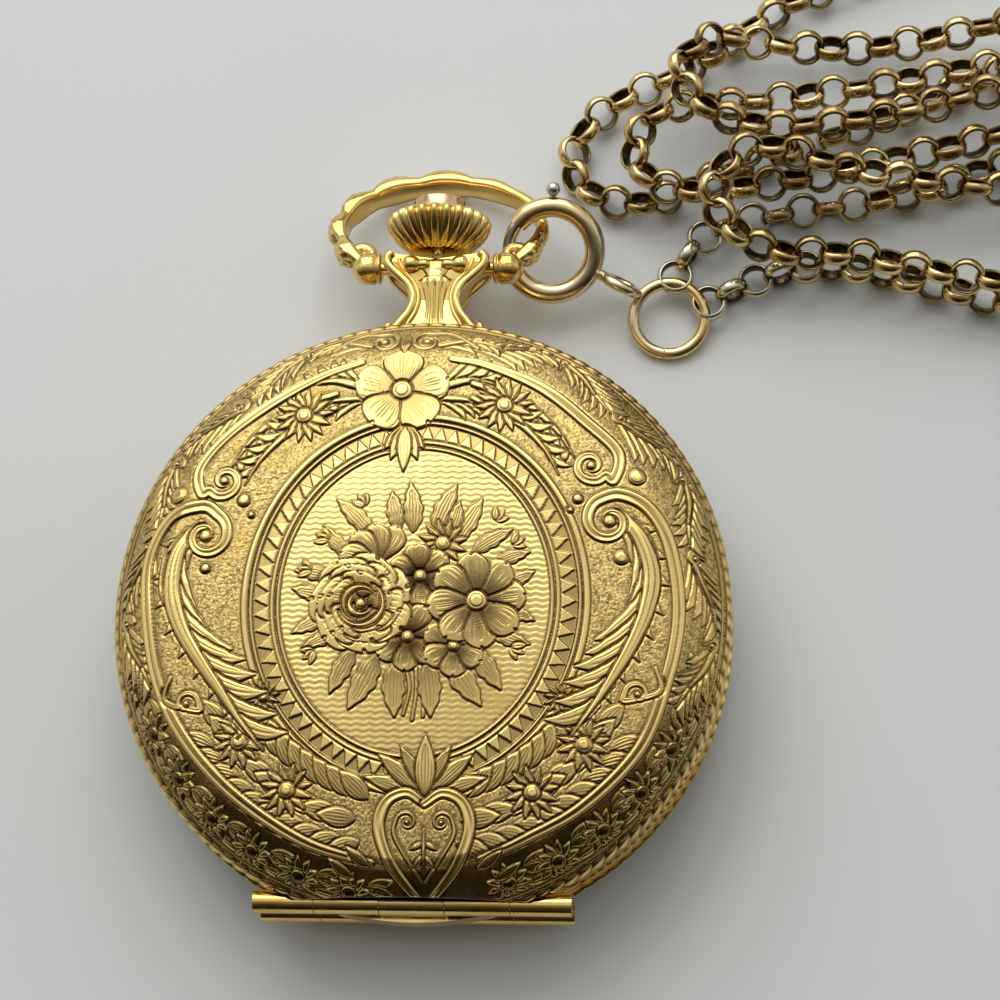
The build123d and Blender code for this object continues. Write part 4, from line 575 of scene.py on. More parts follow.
class Relief:
    """A square height map with masks for matt ground and for dark cuts and painted shade."""

    everything = (slice(None), slice(None))

    def __init__(self):
        self.count = int(round(2 * map_half / map_step)) + 1
        line = np.linspace(-map_half, map_half, self.count)
        self.x, self.y = np.meshgrid(line, line)
        self.reach = np.hypot(self.x, self.y)
        self.height = np.zeros((self.count, self.count))
        self.ground = np.ones((self.count, self.count))
        self.dark = np.zeros((self.count, self.count))

    def window(self, *sides):
        """Give the part of the map between two values of x and two of y."""
        a, b, c, d = [int(np.clip((value + map_half) / map_step, 0, self.count - 2)) for value in sides]
        return (slice(c, d + 2), slice(a, b + 2))

    def lay(self, part, edge, height, cut=None, shade=0.0):
        """Lay a form over what is there; edge is the distance in from its outline, cut its engraved lines."""
        inside = edge > 0
        top = np.maximum(height * np.sqrt(np.clip(edge / soft_edge, 0, 1)), 0.0)
        lined = np.zeros_like(edge) if cut is None else np.clip(cut, 0, 1)
        near = np.clip(1 - np.abs(edge) / cut_width, 0, 1)
        low = self.height[part] * (1 - near) - cut_depth * near
        outside = np.where(near > 0, low, self.height[part])
        self.height[part] = np.where(inside, top - vein_depth * lined, outside)
        dark = np.maximum(np.maximum(lined * 0.92, near), shade)
        self.dark[part] = np.where(inside, dark, np.maximum(self.dark[part], near))
        self.ground[part] = np.where(edge > -cut_width, 0.0, self.ground[part])

    def boss(self, x, y, radius, height, ring=0.0):
        """Raise a round boss, with a ring cut into it where one is asked for."""
        part = self.window(x - radius * 1.3, x + radius * 1.3, y - radius * 1.3, y + radius * 1.3)
        reach = np.hypot(self.x[part] - x, self.y[part] - y)
        cut = np.clip(1 - np.abs(reach - radius * ring) / 0.06, 0, 1) if ring else None
        self.lay(part, radius - reach, height * np.sqrt(np.clip(1.1 - (reach / radius) ** 2, 0, 1)), cut)

    def band(self, points, widths, height, grooves=0, hollow=0.0, shade=0.0):
        """Raise a band along a smooth line, with lines cut along it and a hollowed middle."""
        line = smooth_line(points, 8)
        lengths = line_lengths(line)
        count = max(6, int(lengths[-1] / 0.07))
        places = np.linspace(0, lengths[-1], count)
        xs, ys = [np.interp(places, lengths, column) for column in line.T]
        slope_x = np.gradient(xs)
        slope_y = np.gradient(ys)
        size = np.hypot(slope_x, slope_y)
        reach = max(widths) / 2 + cut_width * 1.5
        span = reach / map_step
        part = self.window(xs.min() - reach, xs.max() + reach, ys.min() - reach, ys.max() + reach)
        gx = self.x[part]
        gy = self.y[part]
        best = np.full(gx.shape, 99.0)
        across = np.zeros(gx.shape)
        share = np.zeros(gx.shape)
        for index in range(count):
            ends = ((ys[index] - gy[0, 0]) / map_step, (xs[index] - gx[0, 0]) / map_step)
            spot = tuple(slice(int(max(end - span, 0)), int(end + span) + 2) for end in ends)
            dx = gx[spot] - xs[index]
            dy = gy[spot] - ys[index]
            away = np.hypot(dx, dy)
            closer = away < best[spot]
            side = (dy * slope_x[index] - dx * slope_y[index]) / size[index]
            best[spot] = np.where(closer, away, best[spot])
            across[spot] = np.where(closer, side, across[spot])
            share[spot] = np.where(closer, index / (count - 1), share[spot])
        half = np.interp(share, np.linspace(0, 1, len(widths)), widths) / 2
        place = across / np.maximum(half, 1e-6)
        crown = np.sqrt(np.clip(1.15 - place ** 2, 0, 1))
        bowl = 1 - hollow * np.exp(-(place / 0.55) ** 2)
        cut = np.zeros(gx.shape)
        for index in range(grooves):
            where = -1 + 2 * (index + 1) / (grooves + 1)
            fade = np.clip(half * 9 / (grooves + 1) - 0.5, 0, 1) * np.clip(share * 6, 0, 1)
            cut = np.maximum(cut, fade * np.clip(1 - np.abs(place - where) * half / 0.055, 0, 1))
        swell = height * np.clip(0.35 + half / max(widths) * 1.3, 0.35, 1.0)
        self.lay(part, half - best, swell * crown * bowl, cut, shade)

    def leaf(self, x, y, bearing, length, width, height, bend=0.0, veins=2, petal=False, notch=0.0,
             shade=0.0):
        """Raise a leaf, or a petal with a round tip, from its foot along a bearing, with cut veins."""
        reach = length * 1.1 + abs(bend)
        part = self.window(x - reach, x + reach, y - reach, y + reach)
        angle = math.radians(bearing)
        dx = self.x[part] - x
        dy = self.y[part] - y
        along = (dx * math.cos(angle) + dy * math.sin(angle)) / length
        safe = np.clip(along, 0.001, 0.999)
        across = -dx * math.sin(angle) + dy * math.cos(angle) - bend * safe ** 2
        early, blunt = (1.9, 0.55) if petal else (0.85, 0.85)
        half = width / 2 * np.sin(math.pi * safe ** early) ** blunt
        half = half * (1 - notch * np.abs(np.sin(math.pi * safe * 4)) ** 3)
        share = across / np.maximum(half, 1e-6)
        tip = np.minimum(along, 1 - along) * length * 2.2
        if petal:
            dent = 0.35 * width * np.exp(-(share / 0.22) ** 2) * 0.5
            tip = np.minimum(tip, (1 - along) * length * 2.2 - dent)
        edge = np.minimum(half - np.abs(across), tip)
        cut = np.clip(1 - np.abs(across) / 0.05, 0, 1) * (safe < 0.82)
        for index in range(veins):
            fade = np.clip((0.86 - 0.25 * (index % 2) - safe) * 8, 0, 1)
            away = np.abs(np.abs(share) - (index + 1) / (veins + 1)) * half
            cut = np.maximum(cut, fade * np.clip(1 - away / 0.045, 0, 1) * np.clip(half / 0.12 - 0.6, 0, 1))
        dome = height * (0.55 + 0.45 * np.sqrt(np.clip(1 - share ** 2, 0, 1))) * (0.65 + 0.35 * safe)
        self.lay(part, edge, dome, cut, np.clip(shade * (1.25 - safe * 1.15), 0, 1))

    def flower(self, x, y, radius, petals, turn, height, width=1.0, centre=0.26, veins=3, shade=0.0):
        """Raise a flower of veined petals round a ringed and dotted boss."""
        size = 2 * math.pi * radius * 0.72 / petals * width
        for index in range(petals):
            self.leaf(x, y, turn + 360 * index / petals, radius, size, height, 0.0, veins, petals < 9,
                      0.0, shade)
        self.boss(x, y, radius * centre, height * 1.15, 0.6)

    def rose(self, x, y, radius, height):
        """Raise a full rose: outer petals, inner petals and a curled heart."""
        for ring, (petals, reach, turn) in enumerate(((7, 1.0, 12), (6, 0.80, 40), (5, 0.60, 8))):
            for index in range(petals):
                bearing = turn + 360 * index / petals
                self.leaf(*polar(radius * 0.08, bearing, x, y), bearing, radius * reach,
                          radius * (1.08 - 0.1 * ring), height * (0.75 + 0.12 * ring), radius * 0.16, 6, True,
                          0.0, 0.55 + 0.2 * ring)
        for reach, start in ((0.48, 200), (0.36, 30), (0.24, 120)):
            arc = [polar(radius * reach, start + 22 * step, x, y) for step in range(11)]
            self.band(arc, [0.08, radius * 0.16, 0.08], height * (1.25 - 0.2 * reach), 1, 0.0, 0.3)
        self.boss(x, y, radius * 0.12, height * 1.2)

    def scroll(self, points, curl, widths, height, grooves=2, hollow=0.35):
        """Raise a flowing band that ends in a curl: centre, radius, turns, first bearing and way."""
        x, y, radius, turns, start, way = curl
        count = max(6, int(turns * 12))
        spiral = []
        for index in range(count + 1):
            share = index / count
            spiral.append(polar(radius * (1 - 0.80 * share), start + way * share * turns * 360, x, y))
        self.band(list(points) + spiral, widths, height, grooves, hollow)
        self.boss(x, y, radius * 0.26, height * 1.1)

    def plume(self, points, width, lobes, height, way, first=0.06, last=0.95):
        """Raise an acanthus leaf: curling lobes on one side of a line and a grooved rib over them."""
        line = smooth_line(points, 8)
        lengths = line_lengths(line)
        slopes = np.gradient(line, axis=0)
        slopes = slopes / np.hypot(*slopes.T)[:, None]
        for index in range(lobes):
            share = first + (last - first) * index / lobes
            place = share * lengths[-1]
            x, y, sx, sy = [np.interp(place, lengths, column) for column in (*line.T, *slopes.T)]
            size = width * (1 - 0.5 * share)
            spots = []
            for step in range(5):
                ahead = size * (0.46 * step - 0.035 * step ** 2)
                out = way * size * (step / 4) ** 1.5
                spots.append((x + sx * ahead - sy * out, y + sy * ahead + sx * out))
            self.band(spots, [size * 0.40, size * 0.56, size * 0.46, size * 0.08], height, 3, 0.15, 0.12)
        self.band(points, [width * 0.26, width * 0.34, width * 0.22, 0.12], height * 1.25, 2, 0.0)

    def oval(self, wide, tall):
        """Give the distance in millimetres from an upright ellipse, positive outside."""
        dx = self.x / wide
        dy = self.y / tall
        value = np.hypot(dx, dy)
        return (value - 1) / np.maximum(np.hypot(dx / wide, dy / tall) / np.maximum(value, 1e-6), 1e-6)

    def ring(self, wide, tall, width, height):
        """Raise a smooth ridge along an upright ellipse, with dark cuts beside it."""
        away = np.abs(self.oval(wide, tall))
        half = width / 2
        self.lay(self.everything, half - away, height * np.sqrt(np.clip(1.1 - (away / half) ** 2, 0, 1)))

    def blurred(self, radius):
        """Give the height map smoothed over a radius."""
        size = max(1, int(radius / map_step))
        soft = self.height
        for axis in (0, 1, 0, 1):
            pad = [(size + 1, size) if a == axis else (0, 0) for a in (0, 1)]
            total = np.cumsum(np.pad(soft, pad, mode="edge"), axis=axis)
            high = np.take(total, range(2 * size + 1, total.shape[axis]), axis=axis)
            low = np.take(total, range(0, total.shape[axis] - 2 * size - 1), axis=axis)
            soft = (high - low) / (2 * size + 1)
        return soft

    def sample(self, field, x, y):
        """Read a map between its points."""
        column = np.clip((x + map_half) / map_step, 0, self.count - 1.001)
        row = np.clip((y + map_half) / map_step, 0, self.count - 1.001)
        c = column.astype(int)
        r = row.astype(int)
        fc = column - c
        fr = row - r
        top = field[r, c] * (1 - fc) + field[r, c + 1] * fc
        low = field[r + 1, c] * (1 - fc) + field[r + 1, c + 1] * fc
        return top * (1 - fr) + low * fr


def smooth_line(points, steps):
    """Pass a smooth curve through points and give its points as an array."""
    array = np.array(points, dtype=float)
    if len(array) < 3:
        return array
    ends = np.vstack([2 * array[0] - array[1], array, 2 * array[-1] - array[-2]])
    out = []
    for index in range(1, len(ends) - 2):
        a, b, c, d = ends[index - 1:index + 3]
        for step in range(steps):
            t = step / steps
            out.append(0.5 * (2 * b + (c - a) * t + (2 * a - 5 * b + 4 * c - d) * t ** 2
                              + (3 * b - a - 3 * c + d) * t ** 3))
    out.append(array[-1])
    return np.array(out)


# Covers and their engraving

def cover_profile(flat, top, shoulder_h, lip_h, rim_h):
    """List a cover's outer profile from its middle to its rim: radius, height outwards and slope."""
    radius = cover_radius / mm
    shoulder = (shoulder_radius / mm, shoulder_h)
    lip = (radius, lip_h)
    rows = [(flat * share, top, 0.0, 1.0) for share in np.linspace(0, 1, 20)] if flat else []
    half = shoulder[0] - flat
    sphere = (half ** 2 + (top - shoulder_h) ** 2) / (2 * (top - shoulder_h))
    for share in np.linspace(0, 1, 60):
        out = half * share
        fall = math.sqrt(sphere ** 2 - out ** 2)
        rows.append((flat + out, top - sphere + fall, out / sphere, fall / sphere))
    chord = math.dist(shoulder, lip)
    bulge = bevel_bulge / mm
    arc = (chord ** 2 / 4 + bulge ** 2) / (2 * bulge)
    inward = ((lip[1] - shoulder[1]) / chord, -(lip[0] - shoulder[0]) / chord)
    centre = [(a + b) / 2 + c * (arc - bulge) for a, b, c in zip(shoulder, lip, inward)]
    first, last = [math.atan2(end[1] - centre[1], end[0] - centre[0]) for end in (shoulder, lip)]
    for share in np.linspace(0.02, 1, 50):
        angle = first + (last - first) * share
        rows.append((*polar(arc, math.degrees(angle), *centre), math.cos(angle), math.sin(angle)))
    for share in np.linspace(0.1, 1, 8):
        rows.append((radius, lip_h + (rim_h - lip_h) * share, 1.0, 0.0))
    return np.array(rows)


def engrave_medallion(relief):
    """Cut the oval medallion: smooth rings, a saw-toothed ring and a lined ground."""
    field = relief.oval(*field_oval) < 0
    wave = np.sin(2 * math.pi * relief.y / 0.34 + 0.8 * np.sin(2 * math.pi * relief.x / 0.70))
    dash = 0.5 + 0.5 * np.sin(2 * math.pi * relief.x / 0.35 + 1.7 * np.sin(2 * math.pi * relief.y / 0.68))
    relief.height = np.where(field, 0.008 * wave - 0.01, relief.height)
    relief.dark = np.where(field, 0.10 * np.clip(-wave, 0, 1) ** 3 * dash, relief.dark)
    relief.ground = np.where(relief.oval(*medallion_oval) < 0, 0.15, relief.ground)
    band = relief.oval(*saw_oval)
    angle = np.arctan2(relief.y / saw_oval[1], relief.x / saw_oval[0])
    teeth = np.abs(((angle * saw_teeth / (2 * math.pi)) % 1) * 2 - 1) * 0.84 - 0.42
    zone = np.abs(band) < saw_half
    sunk = zone & (band > teeth)
    away = np.clip(1 - np.abs(band - teeth) / 0.09, 0, 1)
    relief.height = np.where(zone, np.where(sunk, -0.13, 0.06), relief.height)
    relief.dark = np.where(zone, np.where(sunk, 0.42, 0.0) + 0.35 * away, relief.dark)
    for ring in medallion_rings:
        relief.ring(*ring)


def engrave_bouquet(relief):
    """Raise the bunch of flowers in the middle of the medallion."""
    for stem in bouquet_stems:
        relief.band(stem, [0.26, 0.20], 0.08)
    for index, leaf in enumerate(bouquet_leaves):
        relief.leaf(*leaf, 0.09, 0.35 * (-1) ** index, 2, False, 0.16, 0.45)
    for x, y, bearing in bouquet_buds:
        for turn in (-38, 0, 38):
            relief.leaf(x, y, bearing + turn, 0.85, 0.42, 0.07, 0.0, 0)
    for bearing in (62, 95, 128, 160, 196):
        relief.leaf(-2.0, 2.0, bearing, 2.4, 1.5, 0.13, 0.15, 4, True, 0.0, 0.75)
    for flower in bouquet_flowers:
        relief.flower(*flower)
    relief.rose(-3.0, -0.3, 2.65, 0.18)


def engrave_top(relief, at):
    """Raise the flower, palmette and sprays at the crown's side."""
    for way in (-1, 1):
        x = -1.2 + way * 2.0
        for spots, width, side in top_plumes:
            relief.plume([at(x + way * out, y) for out, y in spots], width, 4, 0.12, way * side)
    for way, x, start in ((1, -5.4, 110), (-1, 3.0, 70)):
        curl = (*at(x + way * 2.95, 15.75), 1.0, 1.2, start, -way)
        relief.scroll([at(x, 15.3), at(x + way * 1.5, 16.4)], curl, [0.24, 0.42, 0.2], 0.13, 1)
    relief.leaf(*at(-1.2, 14.9), 90, 2.0, 0.7, 0.12, 0.0, 2)
    x, y = at(-1.2, 12.5)
    for petal in top_petals:
        relief.leaf(x, y, *petal, 0.17, 0.0, 5, True, 0.0, 0.35)
    relief.boss(x, y, 0.62, 0.20, 0.62)
    for leaf in palmette:
        relief.leaf(*at(-0.9, 10.3), *leaf, 0.13, 0.0, 1)
    for x, y, way in ((-6.8, 11.0, -1), (4.7, 11.6, 1)):
        for spots, width, height, side in spray_plumes:
            relief.plume([at(x + way * out, y + up) for out, up in spots], width, 7, height, way * side)
        relief.flower(*at(x, y), 1.75, 14, 5, 0.14, 1.0, 0.28, 1, 0.2)


def engrave_scrolls(relief, at):
    """Raise the large framing scrolls with their acanthus plumes."""
    for way, line, curl, start in upper_scrolls:
        relief.scroll([at(*point) for point in line], (*at(*curl), 1.05, 1.2, start, -way),
                      [0.45, 0.75, 0.72, 0.34], 0.16, 1, 0.55)
    for x, y, radius in scroll_bosses:
        relief.boss(*at(x, y), radius, 0.15, 0.72)
    for way, ridge, curl, start, spine, (x, y) in side_scrolls:
        for step in range(9, -1, -1):
            bearing = 270 + way * (11 + step * 4.6)
            for reach, lean, shift in ((11.5, -30, 0.0), (12.7, 6, 2.0), (13.8, 34, 0.0)):
                spot = at(*polar(reach, bearing + way * shift))
                relief.leaf(*spot, bearing + way * (90 - lean), 2.3, 1.15, 0.12, 0.12 * way, 2, False,
                            0.0, 0.35)
        for out, up, reach in ((9.6, -8.1, 1.55), (6.8, -10.8, 1.55), (8.3, -5.6, 1.0)):
            relief.flower(*at(way * out, up), reach, 12, 15, 0.16, 0.9, 0.32, 1, 0.15)
        spots = [at(*point) for point in spine]
        relief.plume(spots, 1.15, 9, 0.12, way)
        relief.plume(spots, 3.1, 9, 0.16, -way)
        relief.scroll([at(*point) for point in ridge], (*at(*curl), 1.42, 1.15, start, way),
                      [0.45, 0.70, 0.78, 0.80, 0.82, 0.40], 0.19, 1, 0.5)
        relief.scroll([at(x + way * 1.0, y + 1.5), at(x + way * 1.2, y + 0.2)],
                      (*at(x, y), 0.78, 1.1, 90 + way * 120, -way), [0.26, 0.42, 0.24], 0.15, 1)


def engrave_foot(relief, at):
    """Raise the heart-shaped cartouche and the fleur above it, at the hinge's side."""
    for way in (-1, 1):
        for x, y, turn, length, width in heart_leaves:
            relief.leaf(*at(heart_x + way * x, y), 90 - way * turn, length, width, 0.15, -way * 0.3, 2)
    relief.leaf(*at(heart_x, -11.2), 90, 3.6, 1.15, 0.18, 0.0, 2)
    for way in (-1, 1):
        outline = [at(heart_x + way * x, y) for x, y in heart_outline]
        relief.band(outline, [0.5, 0.72, 0.66, 0.42], 0.20, 0, 0.45)
        line = [at(heart_x + way * x, y) for x, y in ((0.1, -15.6), (1.0, -14.4), (1.65, -13.2))]
        curl = (*at(heart_x + way * 0.95, -12.5), 0.62, 1.1, 90 - way * 85, way)
        relief.scroll(line, curl, [0.16, 0.24, 0.16], 0.15, 0)
        for y, turn in ((-13.6, 118), (-14.3, 140)):
            relief.leaf(*at(heart_x, y), 90 - way * turn, 0.9, 0.34, 0.12, 0.0, 0)
        for x, y in ((2.9, -14.9), (3.9, -15.4)):
            relief.leaf(*at(heart_x + way * x, y), 90 - way * 60, 1.8, 0.6, 0.12, way * 0.3, 1)
    relief.band([at(heart_x, -12.9), at(heart_x, -15.0)], [0.16, 0.24, 0.14], 0.13)


def engrave_border(relief):
    """Raise the border outside the scrolls: daisies round the foot, leafy scrolls at the crown's side; the
    lower border's ground is darkened with painted shade.
    """
    # Painted shade: the ground of the border outside 15.2 mm is darkened towards the bottom of the cover.
    foot = np.clip((-relief.y - 2.0) / 8.0, 0, 1) * (relief.reach > 15.2)
    relief.dark = np.maximum(relief.dark, 0.85 * foot)
    for index in (*range(7), *range(9, 15)):
        bearing = 196 + index * 10.4
        x, y = polar(border_reach, bearing)
        for side, turn in ((-1, 35), (1, -35), (-1, 0), (1, 0)):
            spot = polar(border_reach + side * 0.45, bearing + 3.4)
            relief.leaf(*spot, bearing + 90 + turn, 1.7, 0.70, 0.10, 0.15 * side, 1)
            relief.leaf(*spot, bearing - 90 + turn, 1.5, 0.60, 0.10, 0.15 * side, 1)
        relief.flower(x, y, 1.36, 11, index * 23, 0.14, 0.95, 0.34, 1, 0.1)
        part = relief.window(x - 0.4, x + 0.4, y - 0.4, y + 0.4)
        inside = np.hypot(relief.x[part] - x, relief.y[part] - y) < 0.38
        relief.dark[part] = np.where(inside, 0.8, relief.dark[part])
    for index in (*range(6), *range(8, 13)):
        bearing = -24 + index * 17.2
        way = 1 if index % 2 else -1
        flow, start = (1, bearing) if bearing > 90 else (-1, bearing + 18)
        arc = [polar(16.6 - way * 0.75 * math.cos(step * math.pi / 3), start + flow * step * 5.2)
               for step in range(4)]
        relief.plume(arc, 1.8, 7, 0.12, way * flow)
        relief.plume(arc, 1.4, 6, 0.11, -way * flow)
        curl = (*polar(16.6 - way * 0.55, start + flow * 1.0), 0.62, 1.1, start + 90 * (1 - way), -way * flow)
        relief.scroll(arc[::-1][1:], curl, [0.16, 0.34, 0.32, 0.20], 0.14, 1)


def engrave_rim(relief, rim):
    """Raise the roped bead round the rim and the plain line inside it."""
    rope = np.abs(np.cos(np.arctan2(relief.y, relief.x) * 62 + (relief.reach - rim) * 2.2)) ** 0.6
    away = np.abs(relief.reach - (rim - 0.62))
    bead = 0.12 * (0.55 + 0.45 * rope) * np.sqrt(np.clip(1.05 - (away / 0.36) ** 2, 0, 1))
    relief.lay(relief.everything, 0.36 - away, bead, (1 - rope) * 0.9)
    line = np.abs(relief.reach - (rim - 1.32))
    relief.lay(relief.everything, 0.10 - line, 0.07 * np.ones_like(line))
    relief.ground = np.where(relief.reach > rim - 0.2, 0.0, relief.ground)


def stipple(relief, seed):
    """Roughen the ground with small random pits."""
    noise = np.random.default_rng(seed).standard_normal(relief.height.shape)
    soft = noise
    for step, axis in ((1, 0), (1, 1), (-1, 0), (-1, 1)):
        soft = soft + np.roll(noise, step, axis)
    soft = soft / 3
    relief.height = relief.height + pit_depth * soft * relief.ground
    relief.dark = np.maximum(relief.dark, relief.ground * np.clip(0.34 - soft * 0.5, 0, 0.7))


def front_relief(rows):
    """Cut the whole engraving of the front cover."""
    relief = Relief()
    lengths = line_lengths(rows)
    reaches = rows[:, 0] + np.arange(len(rows)) * 1e-9

    def at(x, y):
        """Move a point of the cover in plan out to its place on the flattened map."""
        reach = math.hypot(x, y)
        flat = float(np.interp(reach, reaches, lengths))
        return (x * flat / reach, y * flat / reach)

    engrave_medallion(relief)
    engrave_bouquet(relief)
    engrave_border(relief)
    engrave_top(relief, at)
    engrave_scrolls(relief, at)
    engrave_foot(relief, at)
    engrave_rim(relief, lengths[-1])
    stipple(relief, 7)
    return relief


def back_relief(rim):
    """Cut the engraving of the back cover: a ring of flowers and leaves round the plain shield."""
    relief = Relief()
    for index in range(8):
        bearing = 90 + index * 45
        between = bearing + 22.5
        for way in (-1, 1):
            arc = [polar(9.0 + 1.0 * step ** 0.8, bearing + way * (3 + step * 5.5)) for step in range(4)]
            relief.plume(arc, 1.7, 6, 0.11, -way)
            line = [polar(reach, bearing + way * turn) for reach, turn in ((9.3, 2), (11.2, 5), (13.4, 6))]
            curl = (*polar(13.4, bearing + way * 11), 1.0, 1.1, bearing + 90 * way, -way)
            relief.scroll(line, curl, [0.3, 0.5, 0.5, 0.26], 0.14, 1, 0.4)
        relief.flower(*polar(12.4, bearing), 1.7, 6, bearing, 0.15, 1.05, 0.26, 3, 0.2)
        for turn in (-30, 0, 30):
            relief.leaf(*polar(9.2, between), between + turn, 2.8, 1.0, 0.12, 0.0, 2)
        relief.boss(*polar(13.6, between), 0.5, 0.14, 0.7)
    for index in range(34):
        bearing = index * 360 / 34
        for turn in (55, -55):
            relief.leaf(*polar(16.7, bearing + 5.2), bearing + 90 + turn, 1.3, 0.55, 0.10, 0.0, 1)
        relief.flower(*polar(16.7, bearing), 1.15, 10, index * 23, 0.13, 0.95, 0.34, 1, 0.1)
    for ring in back_rings:
        relief.ring(*ring)
    engrave_rim(relief, rim)
    stipple(relief, 9)
    return relief


def disc_grid(count):
    """Give points of a square grid pressed into a unit disc, row by row."""
    line = np.linspace(-1, 1, count)
    u, v = np.meshgrid(line, line)
    reach = np.maximum(np.abs(u), np.abs(v))
    swap = np.abs(u) < np.abs(v)
    share = np.where(reach > 0, np.where(swap, u, v) / np.maximum(reach, 1e-9), 0)
    turn = share * math.pi / 4
    base = np.where(swap, np.where(v > 0, math.pi / 2, -math.pi / 2), np.where(u > 0, 0.0, math.pi))
    angle = np.where(swap == (v > 0), base - turn, base + turn)
    angle = np.where(swap, angle, np.where(u > 0, base + turn, base - turn))
    return (reach * np.cos(angle)).ravel(), (reach * np.sin(angle)).ravel()


def grid_mesh(name, points, count, fields, material, flip):
    """Make a mesh from a square grid of points with values at its points."""
    index = np.arange(count * count).reshape(count, count)
    quads = np.stack([index[:-1, :-1], index[:-1, 1:], index[1:, 1:], index[1:, :-1]], axis=-1).reshape(-1, 4)
    if flip:
        quads = quads[:, ::-1]
    mesh = bpy.data.meshes.new(name)
    mesh.vertices.add(len(points))
    mesh.vertices.foreach_set("co", points.astype(np.float32).ravel())
    mesh.loops.add(quads.size)
    mesh.loops.foreach_set("vertex_index", quads.astype(np.int32).ravel())
    mesh.polygons.add(len(quads))
    mesh.polygons.foreach_set("loop_start", np.arange(0, quads.size, 4, dtype=np.int32))
    mesh.polygons.foreach_set("use_smooth", np.ones(len(quads), dtype=bool))
    mesh.update(calc_edges=True)
    mesh.validate()
    for field, values in fields.items():
        set_field(mesh, field, values.astype(np.float32))
    mesh.materials.append(material)
    return new_object(name, mesh)


def cover_skin(name, relief, rows, side, body, material, count):
    """Lay an engraved skin over a cover; side is 1 for the front cover and -1 for the back one."""
    lengths = line_lengths(rows)
    u, v = disc_grid(count)
    reach = np.hypot(u, v) * lengths[-1]
    angle = np.arctan2(v, u)
    spots = (reach * np.cos(angle), reach * np.sin(angle))
    height = np.maximum(relief.sample(relief.height, *spots) + skin_lift / mm, skin_least / mm)
    if side < 0:
        height = np.where(reach < plain_shield / mm, -0.06, height)
    radius, out, slope_r, slope_z = [np.interp(reach, lengths, rows[:, column]) for column in range(4)]
    radius = radius + slope_r * height
    out = out + slope_z * height
    edge = np.where(reach > lengths[-1] * 0.9995, 0.985, 1.0)
    x = radius * np.cos(angle) * edge
    y = np.maximum(radius * np.sin(angle) * edge, hinge_y / mm)
    near = np.clip((-y - 15.3) / 0.5, 0, 1)
    out = np.maximum(out, rows[-1, 1] + 0.02 + near * 0.72)
    if side < 0:
        out = np.where(reach < plain_shield / mm, out, np.minimum(out, -0.01))
    points = np.stack([x, y, out * side], axis=1) * mm
    # Painted shade: the skin is darkened where the relief lies below its blurred surroundings, in its
    # recesses, and further by the dark map of engraved cuts and painted shade.
    hollow = np.clip(relief.sample(relief.blurred(0.3) - relief.height, *spots) / 0.10, 0, 0.22)
    dark = 1 - (1 - np.clip(relief.sample(relief.dark, *spots), 0, 1)) ** 1.3
    fields = {"hollow": np.maximum(hollow, dark), "ground": relief.sample(relief.ground, *spots)}
    skin = grid_mesh(name, points, count, fields, material, side < 0)
    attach(skin, body)


# Dial

def dial_bar(degrees, inner, outer, half, centre_y, level):
    """Give the four corners and the face of one mark of a track round a centre."""
    angle = math.radians(degrees)
    points = []
    for reach, across in ((inner, -half), (inner, half), (outer, half), (outer, -half)):
        points.append(Vector((reach * math.cos(angle) - across * math.sin(angle),
                              centre_y + reach * math.sin(angle) + across * math.cos(angle), level)))
    return points, [(0, 1, 2, 3)]


def dial_circle(centre_y, reach, wide, level, count=180):
    """Give the points and faces of one thin printed circle."""
    points = [Vector((*polar(reach + out, 360 * index / count, 0, centre_y), level))
              for index in range(count) for out in (0, wide)]
    ends = 2 * count
    return points, [(i, i + 1, (i + 3) % ends, (i + 2) % ends) for i in range(0, ends, 2)]


def add_dial_print(material):
    """Print the hour numbers, the minute track and the seconds ring on the dial."""
    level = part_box("dial")[1][2] + 0.004 * mm
    parts = []
    for hour in range(1, 13):
        data = bpy.data.curves.new("number", "FONT")
        data.body = str(hour)
        data.size = number_size
        data.align_x = "CENTER"
        data.align_y = "CENTER"
        data.extrude = 0.006 * mm
        text = new_object("number", data)
        bpy.context.view_layer.update()
        mesh = bpy.data.meshes.new_from_object(text)
        x, y = polar(number_reach, 90 - hour * 30)
        y = y - (number_drop if hour == 6 else 0)
        points = [Vector((vertex.co.x * 0.82 + x, vertex.co.y + y, vertex.co.z + level))
                  for vertex in mesh.vertices]
        parts.append((points, [tuple(polygon.vertices) for polygon in mesh.polygons]))
        bpy.data.objects.remove(text)
    for minute in range(60):
        length, half = (0.75 * mm, 0.11 * mm) if minute % 5 == 0 else (0.55 * mm, 0.05 * mm)
        parts.append(dial_bar(minute * 6, track_reach - length, track_reach, half, 0, level))
    inner = seconds_reach - 0.4 * mm
    for centre_y, reach, wide in ((0, track_reach, 0.06), (0, track_reach - 0.55 * mm, 0.05),
                                  (seconds_y, seconds_reach, 0.05), (seconds_y, inner, 0.04)):
        parts.append(dial_circle(centre_y, reach, wide * mm, level))
    for tick in range(12):
        parts.append(dial_bar(tick * 30, inner, seconds_reach, 0.05 * mm, seconds_y, level))
    numbers = mesh_piece("dial_numbers", *join_parts(parts), "case", material, smooth=False)


# Necklace

def necklace_line():
    """Draw the necklace's smooth line and read the points along it."""
    data = bpy.data.curves.new("necklace_line", "CURVE")
    data.dimensions = "3D"
    spline = data.splines.new("NURBS")
    spline.points.add(len(necklace_points) - 1)
    for point, place in zip(spline.points, necklace_points):
        point.co = (*place, 1)
    spline.order_u = 3
    spline.use_endpoint_u = True
    spline.resolution_u = 24
    line = new_object("necklace_line", data)
    bpy.context.view_layer.update()
    mesh = bpy.data.meshes.new_from_object(line)
    points = np.array([tuple(vertex.co) for vertex in mesh.vertices])
    bpy.data.objects.remove(line)
    bpy.data.meshes.remove(mesh)
    return points


